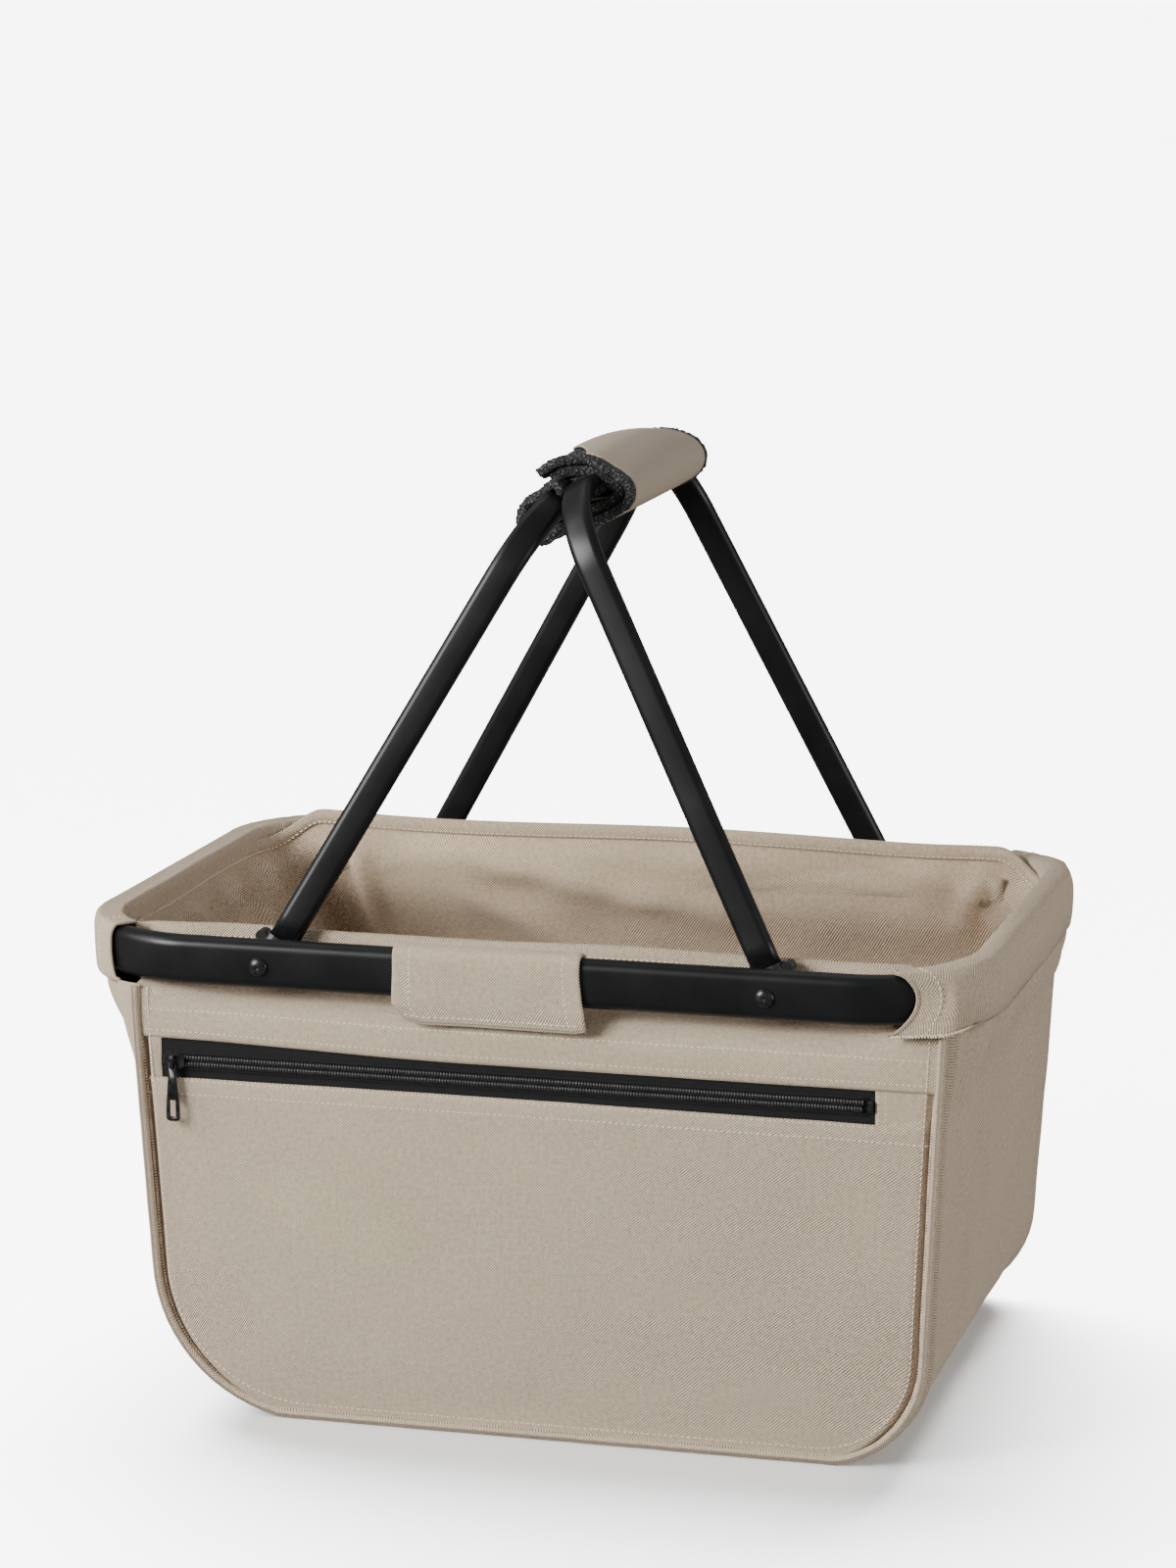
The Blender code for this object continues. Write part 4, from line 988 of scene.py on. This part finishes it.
# ---------------------------------------------------------------- piping
def outline_line():
    """The wall panel's edge in XZ, from the top left down, along the floor and up the right."""
    turns = np.linspace(0.0, 1.5, 16)
    left = [(-1, z) for z in np.linspace(0.2252, 0.080, 32)]
    left += [(-1, z) for z in BAG_CORNER[-1] * (1 - np.cos(turns[::-1]))]
    floor = [(x, 0.0) for x in np.linspace(side_x(-1, 0), side_x(1, 0), 24)[1:-1]]
    right = [(1, z) for z in BAG_CORNER[1] * (1 - np.cos(turns))]
    right += [(1, z) for z in np.linspace(0.058, 0.2252, 36)]
    ends = [[(side_x(sign, z), z) for sign, z in side] for side in (left, right)]
    return np.array(ends[0] + floor + ends[1])


def inward_of(line):
    """Unit normals of a flat line, pointing into the panel."""
    ahead = np.gradient(line, axis=0)
    normal = np.stack((-ahead[:, 1], ahead[:, 0]), axis=1)
    return normal / np.linalg.norm(normal, axis=1)[:, None]


def build_piping(end):
    """A covered cord in the seam, standing a little proud of both cloths."""
    sign = -1 if end == "front" else 1
    line = outline_line()
    normals = inward_of(line)
    cord, stitch_line = [], []
    for (x, z), (nx, nz) in zip(line, normals):
        wobble = 0.0005 * soft_noise(x, z, 0.02, 71)
        pulled = smooth(z, FLARE_LOW, WALL_TOP) if sign > 0 else 0.0
        y = front_y(min(z, 0.2)) + PIPE * 0.40 + wobble - 0.0040 * pulled
        centre_x = x + nx * (PIPE * 0.45 + 0.003 * pulled)
        cord.append((centre_x, sign * y, max(z + nz * PIPE * 0.45, PIPE)))
        spot_x, spot_z = x + nx * 0.0078, z + nz * 0.0078
        spot = front_point(spot_x, spot_z) if sign < 0 else back_point(spot_x, spot_z)
        stitch_line.append((spot, Vector((0, sign, 0))))
    pipe = tube_object("piping_cloth_" + end, cord, PIPE, BEIGE, 12)
    settle(pipe, "beige_cloth", "basket", "piping_" + end)
    return stitch_line


# ---------------------------------------------------------------- zip
def build_zip():
    """Two tapes that meet in the middle, each with its row of teeth."""
    for name, sign, edge in (("upper", 1, zip_top), ("lower", -1, zip_bottom)):
        rows = []
        for i in range(9):
            row = []
            for c in range(121):
                x = mix(ZIP_LEFT - 0.004, ZIP_RIGHT + 0.003, c / 120)
                z = mix(ZIP_MIDDLE + sign * 0.0002, edge(x) + sign * 0.003, i / 8)
                row.append(front_point(x, z, -TAPE_SET))
            rows.append(row)
        tape = grid_object("zip_tape_cloth_" + name, rows, TAPE, 0.0006, outward=(0, -1, 0))
        settle(tape, "black_tape", "basket", "zip_tape_" + name)
        build_coil(name, sign)


def build_coil(name, sign):
    """Nylon coil teeth: small bent loops side by side along the tape's edge."""
    left = ZIP_LEFT + 0.0020 + (0.0 if sign > 0 else TOOTH_PITCH / 2)
    right = ZIP_RIGHT - 0.004
    loop = ((-0.0002, 0.0004), (0.0003, 0.0016), (0.0012, 0.0021), (0.0023, 0.0018), (0.0029, 0.0002))
    radii = (0.00055, -0.00030, 0.00040)
    sides = 6
    vertices, faces = [], []
    for k in range(int((right - left) / TOOTH_PITCH)):
        x = left + k * TOOTH_PITCH
        base = front_point(x, ZIP_MIDDLE, -TAPE_SET)
        faces += ring_faces(len(loop), sides, len(vertices))
        for reach, out in loop:
            for turn in range(sides):
                angle = 2 * math.pi * turn / sides
                wide, deep, high = (r * f(angle) for r, f in zip(radii, (math.cos, math.sin, math.sin)))
                z = ZIP_MIDDLE + sign * (0.0003 + reach)
                vertices.append(Vector((x + wide, base.y - out + deep, z + high)))
    coil = new_object("zip_teeth_" + name, vertices, faces, NYLON)
    settle(coil, "black_tape", "basket", "zip_coil_" + name)
    line = [front_point(x, ZIP_MIDDLE, 0.0006 - TAPE_SET) + Vector((0, 0, sign * 0.0040))
            for x in np.linspace(left, right, 60)]
    core = tube_object("zip_core_" + name, line, 0.00055, TAPE, 6)
    settle(core, "black_tape", "basket")


def build_zip_ends():
    """Cloth patches that close the opening beyond the zip."""
    level = 0.187
    spans = (("left", side_x(-1, level) + 0.001, ZIP_LEFT), ("right", ZIP_RIGHT, side_x(1, level) - 0.001))
    for side, x_from, x_to in spans:
        rows = []
        for i in range(7):
            row = []
            for c in range(15):
                x = mix(x_from, x_to, c / 14)
                z = mix(zip_bottom(x) - 0.002, zip_top(x) + 0.002, i / 6)
                row.append(front_point(x, z, -0.0006))
            rows.append(row)
        patch = grid_object("zip_patch_" + side, rows, BEIGE, 0.0010, outward=(0, -1, 0))
        settle(patch, "beige_cloth", "basket", "zip_end_" + side)


# ---------------------------------------------------------------- rim and bails
def rounded_section(width, height, radius, steps=6):
    """A rectangle with round corners."""
    points = []
    for side_a, side_b, start in ((1, 1, 0), (-1, 1, 90), (-1, -1, 180), (1, -1, 270)):
        for step in range(steps + 1):
            angle = math.radians(start + 90 * step / steps)
            points.append((side_a * (width / 2 - radius) + radius * math.cos(angle),
                           side_b * (height / 2 - radius) + radius * math.sin(angle)))
    return points


def build_rims():
    """Two bent tubes with soft shoulders, butted under the tabs."""
    section = rounded_section(RIM_THICK, RIM_HEIGHT, 0.0054)
    up = Vector((0, 0, 1))
    for side, sign in SIGN.items():
        near = [sign * mix(0.00015, CORNER_X, i / 12) for i in range(12)]
        far = [sign * mix(CORNER_X, 0.00015, i / 12) for i in range(1, 13)]
        frames = [(Vector((x, -CORNER_Y - RIM_BEND, RIM_Z)), Vector((0, -1, 0)), up) for x in near]
        for corner, start in ((-1, -90), (1, 0)):
            centre = Vector((sign * CORNER_X, corner * CORNER_Y, RIM_Z))
            for step in range(29):
                angle = math.radians(start + 90 * step / 28)
                out = Vector((sign * math.cos(angle), math.sin(angle), 0))
                frames.append((centre + RIM_BEND * out, out, up))
        frames += [(Vector((x, CORNER_Y + RIM_BEND, RIM_Z)), Vector((0, 1, 0)), up) for x in far]
        rim = ribbon_tube("rim_tube_" + side, frames, section, PAINT)
        settle(rim, "black_paint", "basket", "rim_" + side)


def build_bails():
    """Each bail is one tube bent twice; its legs close in a little towards the grip."""
    slope = math.atan(LEG_CLOSE)
    turn_total = math.pi / 2 - slope
    leg = Vector((0, LEG_CLOSE, 1)).normalized()
    across = Vector((0, -1, LEG_CLOSE)).normalized()
    top = Vector((0, -(LEG_Y - LEG_CLOSE * BAIL_LENGTH), BAIL_LENGTH))
    start = top - BEND * math.tan(turn_total / 2) * leg
    foot = Vector((0, -(LEG_Y - LEG_CLOSE * 0.007), 0.007))
    centre = start - BEND * across
    normal = Vector((1, 0, 0))
    half = [(foot.lerp(start, i / 14), across, normal) for i in range(14)]
    for step in range(33):
        turn = turn_total * step / 32
        out = across * math.cos(turn) + leg * math.sin(turn)
        half.append((centre + BEND * out, out, normal))
    frames = half + [(Vector((0, -p.y, p.z)), Vector((0, -out.y, out.z)), n) for p, out, n in reversed(half)]
    section = rounded_section(*BAIL_SECTION)
    for side in ("left", "right"):
        place = bail_place(side)
        turn = place.to_3x3()
        placed = [(place @ p, turn @ a, turn @ b) for p, a, b in frames]
        bail = ribbon_tube("bail_tube_" + side, placed, section, PAINT)
        settle(bail, "black_paint", side + "_bail", "bail_" + side)


def turned_object(name, profile, centre, sign, material, count=36):
    """A profile of (radius, distance out along Y) turned about a Y line through centre."""
    vertices = []
    for radius, out in profile:
        for k in range(count):
            angle = 2 * math.pi * k / count
            vertices.append((centre[0] + radius * math.cos(angle), sign * out,
                             centre[1] + radius * math.sin(angle)))
    return face_out(new_object(name, vertices, ring_faces(len(profile), count), material))


def build_rivets():
    """Low domed heads with a rolled rim and a small flat where the tool pressed."""
    face = RIM_HALF_DEPTH
    dome = [math.radians(a) for a in (24, 34, 44, 54, 64, 74, 84, 90)]
    profile = [(0.0007, face + 0.0022), (0.0012, face + 0.0025)]
    profile += [(0.0048 * math.sin(a), face + 0.0003 + 0.0023 * math.cos(a)) for a in dome]
    profile += [(0.0046, face), (0.0025, face - 0.0002), (0.0025, 0.1282), (0.0048, 0.1281), (0.0047, 0.1271),
                (0.0010, 0.1269)]
    for side in ("left", "right"):
        for end, sign in (("front", -1), ("back", 1)):
            centre = (SIGN[side] * PIVOT_X, PIVOT_Z)
            rivet = turned_object("rivet_head_{}_{}".format(side, end), profile, centre, sign, ENAMEL)
            settle(rivet, "black_paint", "basket", "rivet_{}_{}".format(side, end))


def build_puller():
    """A flat drop-shaped pull, wider below, with a long slot in its lower part."""
    low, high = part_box("zip_puller")
    middle_x, middle_y = (low[0] + high[0]) / 2, (low[1] + high[1]) / 2
    half_thick, rounding = 0.00065, 0.00035
    count = 48
    outline, slot = [], []
    for i in range(count):
        angle = 2 * math.pi * i / count
        across, up = math.sin(angle), 0.5 + 0.5 * math.cos(angle)
        side = math.copysign(1, across) if abs(across) > 1e-6 else 0.0
        wide = mix(0.0036, 0.0022, smooth(up, 0.1, 0.9)) * min(1.0, (abs(across) * 3.2) ** 0.6)
        outline.append((side * wide, mix(low[2], high[2], up)))
        narrow = 0.0015 * min(1.0, (abs(across) * 2.4) ** 0.7)
        slot.append((math.copysign(narrow, across), low[2] + mix(0.0022, 0.0110, up)))
    work = bmesh.new()
    loops = []
    for shrink, deep in ((rounding, -half_thick), (0.0, rounding - half_thick), (0.0, half_thick - rounding),
                         (rounding, half_thick)):
        outer, inner = [], []
        for (x, z), (slot_x, slot_z) in zip(outline, slot):
            place = (middle_x + x - math.copysign(min(shrink, abs(x)), x), middle_y + deep, z)
            outer.append(work.verts.new(place))
            place = (middle_x + slot_x + math.copysign(shrink, slot_x), middle_y + deep, slot_z)
            inner.append(work.verts.new(place))
        loops.append((outer, inner))
    for i in range(count):
        j = (i + 1) % count
        for (outer_a, inner_a), (outer_b, inner_b) in zip(loops, loops[1:]):
            work.faces.new((outer_a[i], outer_a[j], outer_b[j], outer_b[i]))
            work.faces.new((inner_a[j], inner_a[i], inner_b[i], inner_b[j]))
        for outer, inner in (loops[0], loops[-1]):
            work.faces.new((outer[i], inner[i], inner[j], outer[j]))
    bmesh.ops.recalc_face_normals(work, faces=work.faces)
    pull = new_object("zip_pull", [], [], ENAMEL)
    work.to_mesh(pull.data)
    work.free()
    pull.data.shade_smooth()
    settle(pull, "zip_metal", "puller", "zip_puller")


def finish_hardware():
    """The rigid parts that keep their CAD shape get their real finishes."""
    looks = (("rim_joiner", PLASTIC), ("leg_fitting", PLASTIC), ("zip_slider", ENAMEL), ("zip_stop", ENAMEL),
             ("base_board", LINING))
    for name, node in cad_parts.items():
        for start, material in looks:
            if name.startswith(start):
                node.data.materials.clear()
                node.data.materials.append(material)
                break


# ---------------------------------------------------------------- grip wraps
def in_bail(side, across, y, up):
    """A point given beside a crossbar, level and upright, in the world."""
    centre = bail_place(side) @ Vector((0, 0, BAIL_LENGTH))
    return centre + Vector((across, y, up))


def bail_place(side):
    """The bail's own frame in the world: its pivot line at the origin, the legs along Z."""
    lean = Matrix.Rotation(-SIGN[side] * LEAN[side], 4, "Y")
    return Matrix.Translation((SIGN[side] * PIVOT_X, 0, PIVOT_Z)) @ lean


def wrap_rows(side, line_front, line_back, ends, offset=0.0, starts=(0.0, 0.0), last=1.0, count=96, rows=64,
              bow=0.0, ruffle=0.0, puff=0.0):
    """A curled sheet whose section changes from the front end to the back end.

    starts are the shares of the section where the sheet begins, at the front and at the back, and last
    the share where it ends. bow lifts its middle, and puff thickens its two ends.
    """
    fine = 300
    front = resample(spline(line_front, 8), fine)
    back = resample(spline(line_back, 8), fine)
    places = np.arange(fine) / (fine - 1)
    result = []
    for r in range(rows):
        along = mix(ends[0], ends[1], r / (rows - 1))
        t = (along - WRAP_ENDS[0]) / (WRAP_ENDS[1] - WRAP_ENDS[0])
        t = min(max(t, 0.0), 1.0)
        line = front + (back - front) * t
        ahead = np.gradient(line, axis=0)
        normal = np.stack((-ahead[:, 1], ahead[:, 0]), axis=1)
        normal /= np.linalg.norm(normal, axis=1)[:, None]
        crown = bow * math.sin(math.pi * t ** 1.15)
        swell = puff * (1 - smooth(t, 0.02, 0.05) + 1.5 * smooth(t, 0.975, 0.990))
        row = []
        for k in range(count):
            share = mix(mix(starts[0], starts[1], smooth(t, 0.0, 0.45)), last, k / (count - 1))
            upper = 1 - smooth(share, 0.45, 0.95)
            knot = ruffle * noise.noise(Vector((share * 60, t * 110, 3.0)))
            reach = offset + crown * upper * 0.75 + knot + swell
            across, up = (float(np.interp(share, places, line[:, axis]))
                          + float(np.interp(share, places, normal[:, axis])) * reach for axis in (0, 1))
            curve = 0.0035 * math.sin(math.pi * share)
            y = along + curve * (1 - t) - curve * 0.5 * t
            row.append(in_bail(side, across, y, up + crown * 0.4 * upper))
        result.append(row)
    return result


# sections (distance across, height) of the wraps about a crossbar: the grip at its front and back
# ends, the grip's inner tail, and the hanging loop
GRIP_FRONT = ((-0.0225, 0.0036), (-0.0150, 0.0088), (-0.0068, 0.0108), (0.0015, 0.0108), (0.0080, 0.0078),
              (0.0148, 0.0038), (0.0190, 0.0008), (0.0208, -0.0026), (0.0200, -0.0070), (0.0155, -0.0104),
              (0.0090, -0.0144), (0.0020, -0.0170), (-0.0045, -0.0184))
GRIP_BACK = ((-0.0100, 0.0010), (-0.0070, 0.0050), (-0.0010, 0.0074), (0.0060, 0.0080), (0.0130, 0.0068),
             (0.0190, 0.0042), (0.0222, 0.0000), (0.0216, -0.0046), (0.0180, -0.0084), (0.0130, -0.0112),
             (0.0085, -0.0128), (0.0030, -0.0135))
GRIP_TAIL = ((0.0160, -0.0040), (0.0120, -0.0062), (0.0060, -0.0066), (0.0010, -0.0074))
HANGING = ((0.0040, 0.0070), (-0.0017, 0.0122), (-0.0100, 0.0058), (-0.0158, 0.0024), (-0.0200, -0.0023),
           (-0.0220, -0.0085), (-0.0205, -0.0160), (-0.0145, -0.0212), (-0.0077, -0.0220), (-0.0018, -0.0183),
           (0.0034, -0.0140))


def away_from(x, z):
    """An outward direction round a line along Y."""
    return lambda p: Vector((p.x - x, 0, p.z - z))


def build_grip():
    """The padded grip, open in front like a rolled leaf: lining, pad and a stiff shell over them."""
    hug = away_from(0.012, 0.474)
    layers = (("grip_lining", PILE, "black_loop", 0.0046, (0.15, 0.085), ("grip_lining_right",),
               (-0.066, 0.0855),
               dict(offset=0.0027, last=0.98, bow=0.0042, ruffle=0.0011, puff=0.0017)),
              ("grip_shell", FACE, "beige_webbing", 0.0011, (0.15, 0.056), ("grip_shell_right",),
               (-0.0612, 0.0812),
               dict(offset=0.0046, starts=(0.29, 0.02), last=0.89, bow=0.0042)),
              ("grip_pad", PILE, "black_loop", 0.0052, (0.13, 0.062), (), (-0.0640, 0.0600),
               dict(offset=-0.0014, starts=(0.04, 0.04), last=0.98, bow=0.0042)))
    for name, material, slot, thick, flat, nodes, ends, shape in layers:
        rows = wrap_rows("right", GRIP_FRONT, GRIP_BACK, ends, **shape)
        piece = grid_object(name + "_cloth", rows, material, thick, outward=hug)
        settle(piece, slot, "right_bail", *nodes)
    tail_rows = wrap_rows("right", GRIP_TAIL, GRIP_TAIL, (-0.060, 0.060), count=16, rows=12)
    tail = grid_object("grip_tail_cloth", tail_rows, FACE, 0.0011, outward=(0, 0, 1))
    settle(tail, "beige_webbing", "right_bail")


def build_grip_core():
    """Padding wound round the crossbar inside the grip."""
    place = bail_place("right")
    turn = place.to_3x3()
    frames = [(place @ Vector((0, y, BAIL_LENGTH)), turn @ Vector((0, 0, 1)), turn @ Vector((1, 0, 0)))
              for y in np.linspace(-0.060, 0.060, 40)]
    core = ribbon_tube("grip_core_cloth", frames, rounded_section(0.0150, 0.0240, 0.0068), PILE)
    settle(core, "black_loop", "right_bail")


def build_loop_wrap():
    """The looped strap that hangs on the left bail's crossbar."""
    rows = wrap_rows("left", HANGING, HANGING, (-0.076, 0.072), ruffle=0.0012)
    wrap = grid_object("grip_wrap_cloth", rows, PILE, 0.0042, outward=away_from(-0.008, 0.458))
    settle(wrap, "black_loop", "left_bail", "grip_wrap_left")


# ---------------------------------------------------------------- studio
# name, place, width, height and power of each lamp
LAMPS = (("key", (-1.75, -2.05, 1.35), 1.2, 1.2, 136.0),
         ("top", (-0.5, 0.5, 2.3), 2.0, 0.9, 6.0),
         ("fill", (2.5, -0.5, 0.42), 1.1, 1.1, 33.0),
         ("strip", (-1.7, -0.7, 1.4), 0.3, 1.5, 14.0))
# a wide sun that lights only the floor, for a soft shadow in front
SUN_POWER, SUN_SPREAD, SUN_FROM = 30.0, 62, (-0.35, 0.80, 1.25)


def build_studio():
    """A pale floor and a white background, a key light in front on the left, and softer ones around."""
    corners = [(-30, -30, 0), (30, -30, 0), (30, 30, 0), (-30, 30, 0)]
    floor = new_object("studio_floor", corners, [(0, 1, 2, 3)], floor_material())
    floor.visible_diffuse = False
    floor.visible_glossy = False
    world = bpy.data.worlds.new("studio")
    bpy.context.scene.world = world
    world.use_nodes = True
    tree = world.node_tree
    ambient = tree.nodes["Background"]
    ambient.inputs[0].default_value = (1.0, 1.0, 1.0, 1.0)
    ambient.inputs[1].default_value = AMBIENT
    paper = add_node(tree, "ShaderNodeBackground", {0: (1.0, 1.0, 1.0, 1.0), 1: PAPER})
    eye = add_node(tree, "ShaderNodeLightPath")
    both = add_node(tree, "ShaderNodeMixShader", {0: eye.outputs["Is Camera Ray"], 1: ambient.outputs[0],
                                                  2: paper.outputs[0]})
    tree.links.new(both.outputs[0], tree.nodes["World Output"].inputs[0])
    for name, place, wide, tall, power in LAMPS:
        data = bpy.data.lights.new(name, "AREA")
        data.shape = "RECTANGLE"
        data.size = wide
        data.size_y = tall
        data.energy = power
        aim_lamp(name, data, place)
    sun = bpy.data.lights.new("floor_wash", "SUN")
    sun.energy = SUN_POWER
    sun.angle = math.radians(SUN_SPREAD)
    wash = aim_lamp("floor_wash", sun, SUN_FROM)
    only_floor = bpy.data.collections.new("floor_only")
    only_floor.objects.link(floor)
    wash.light_linking.receiver_collection = only_floor


def aim_lamp(name, data, place):
    """A lamp at a place, turned to the middle of the bag."""
    lamp = bpy.data.objects.new(name, data)
    lamp.location = place
    direction = Vector((0, 0, 0.2)) - lamp.location
    lamp.rotation_euler = direction.to_track_quat("-Z", "Y").to_euler()
    bpy.context.scene.collection.objects.link(lamp)
    return lamp


CAMERA_ANGLES = (15.06, 13.24)       # round to the right, and up
CAMERA_DISTANCE, CAMERA_LENS = 2.463, 142.8
CAMERA_SHIFT = (-0.0043, 0.1731)


def build_camera():
    """A long lens, low over the right front corner, with the picture's centre above the lens axis."""
    azimuth, elevation = (math.radians(angle) for angle in CAMERA_ANGLES)
    target = Vector((0, 0, 0.2))
    back = Vector((math.sin(azimuth) * math.cos(elevation), -math.cos(azimuth) * math.cos(elevation),
                   math.sin(elevation)))
    data = bpy.data.cameras.new("camera")
    data.sensor_fit = "HORIZONTAL"
    data.sensor_width = 36.0
    data.lens = CAMERA_LENS
    data.shift_x, data.shift_y = CAMERA_SHIFT
    data.clip_end = 50.0
    camera = bpy.data.objects.new("camera", data)
    camera.location = target + back * CAMERA_DISTANCE
    camera.rotation_euler = back.to_track_quat("Z", "Y").to_euler()
    bpy.context.scene.collection.objects.link(camera)
    bpy.context.scene.camera = camera


# ---------------------------------------------------------------- all seams
FRONT = Vector((0, -1, 0))


def front_route(drop, x_from, x_to):
    """A sewn line across the front wall, a little below the zip."""
    return [(front_point(x, zip_bottom(x) - drop), FRONT) for x in np.linspace(x_from, x_to, 120).tolist()]


def band_route(place):
    """A sewn line across the band above the zip."""
    xs = np.linspace(side_x(-1, 0.2) + 0.004, side_x(1, 0.2) - 0.004, 120)
    return [(band_point(x, place), FRONT) for x in xs.tolist()]


def build_seams(extra):
    """All the sewn lines in one piece: the zip's, and those that the other builders handed on."""
    routes = [band_route(0.055), band_route(0.235)]
    left, right = side_x(-1, 0.18) + 0.004, side_x(1, 0.18) - 0.004
    routes += [front_route(0.0012, left, ZIP_RIGHT + 0.002), front_route(0.0085, left, right)]
    for offset in (0.0016, 0.0050):
        across_zip = np.linspace(0.1795, 0.1965, 12)
        routes.append([(front_point(ZIP_RIGHT + offset, z, -0.0006), FRONT) for z in across_zip])
    stitches("seam_threads", routes + extra, THREAD)


build_camera()
build_studio()
build_pocket()
build_band()
build_gusset()
build_back()
inner_rows = build_inner()
build_floor_cloth()
seams = build_hem(inner_rows)
for side in ("left", "right"):
    seams += build_sleeve(side)
for end in ("front", "back"):
    seams += build_tab(end)
    seams.append(build_piping(end))
build_zip()
build_zip_ends()
finish_hardware()
build_rims()
build_bails()
build_rivets()
build_puller()
build_grip()
build_grip_core()
build_loop_wrap()
build_seams(seams)
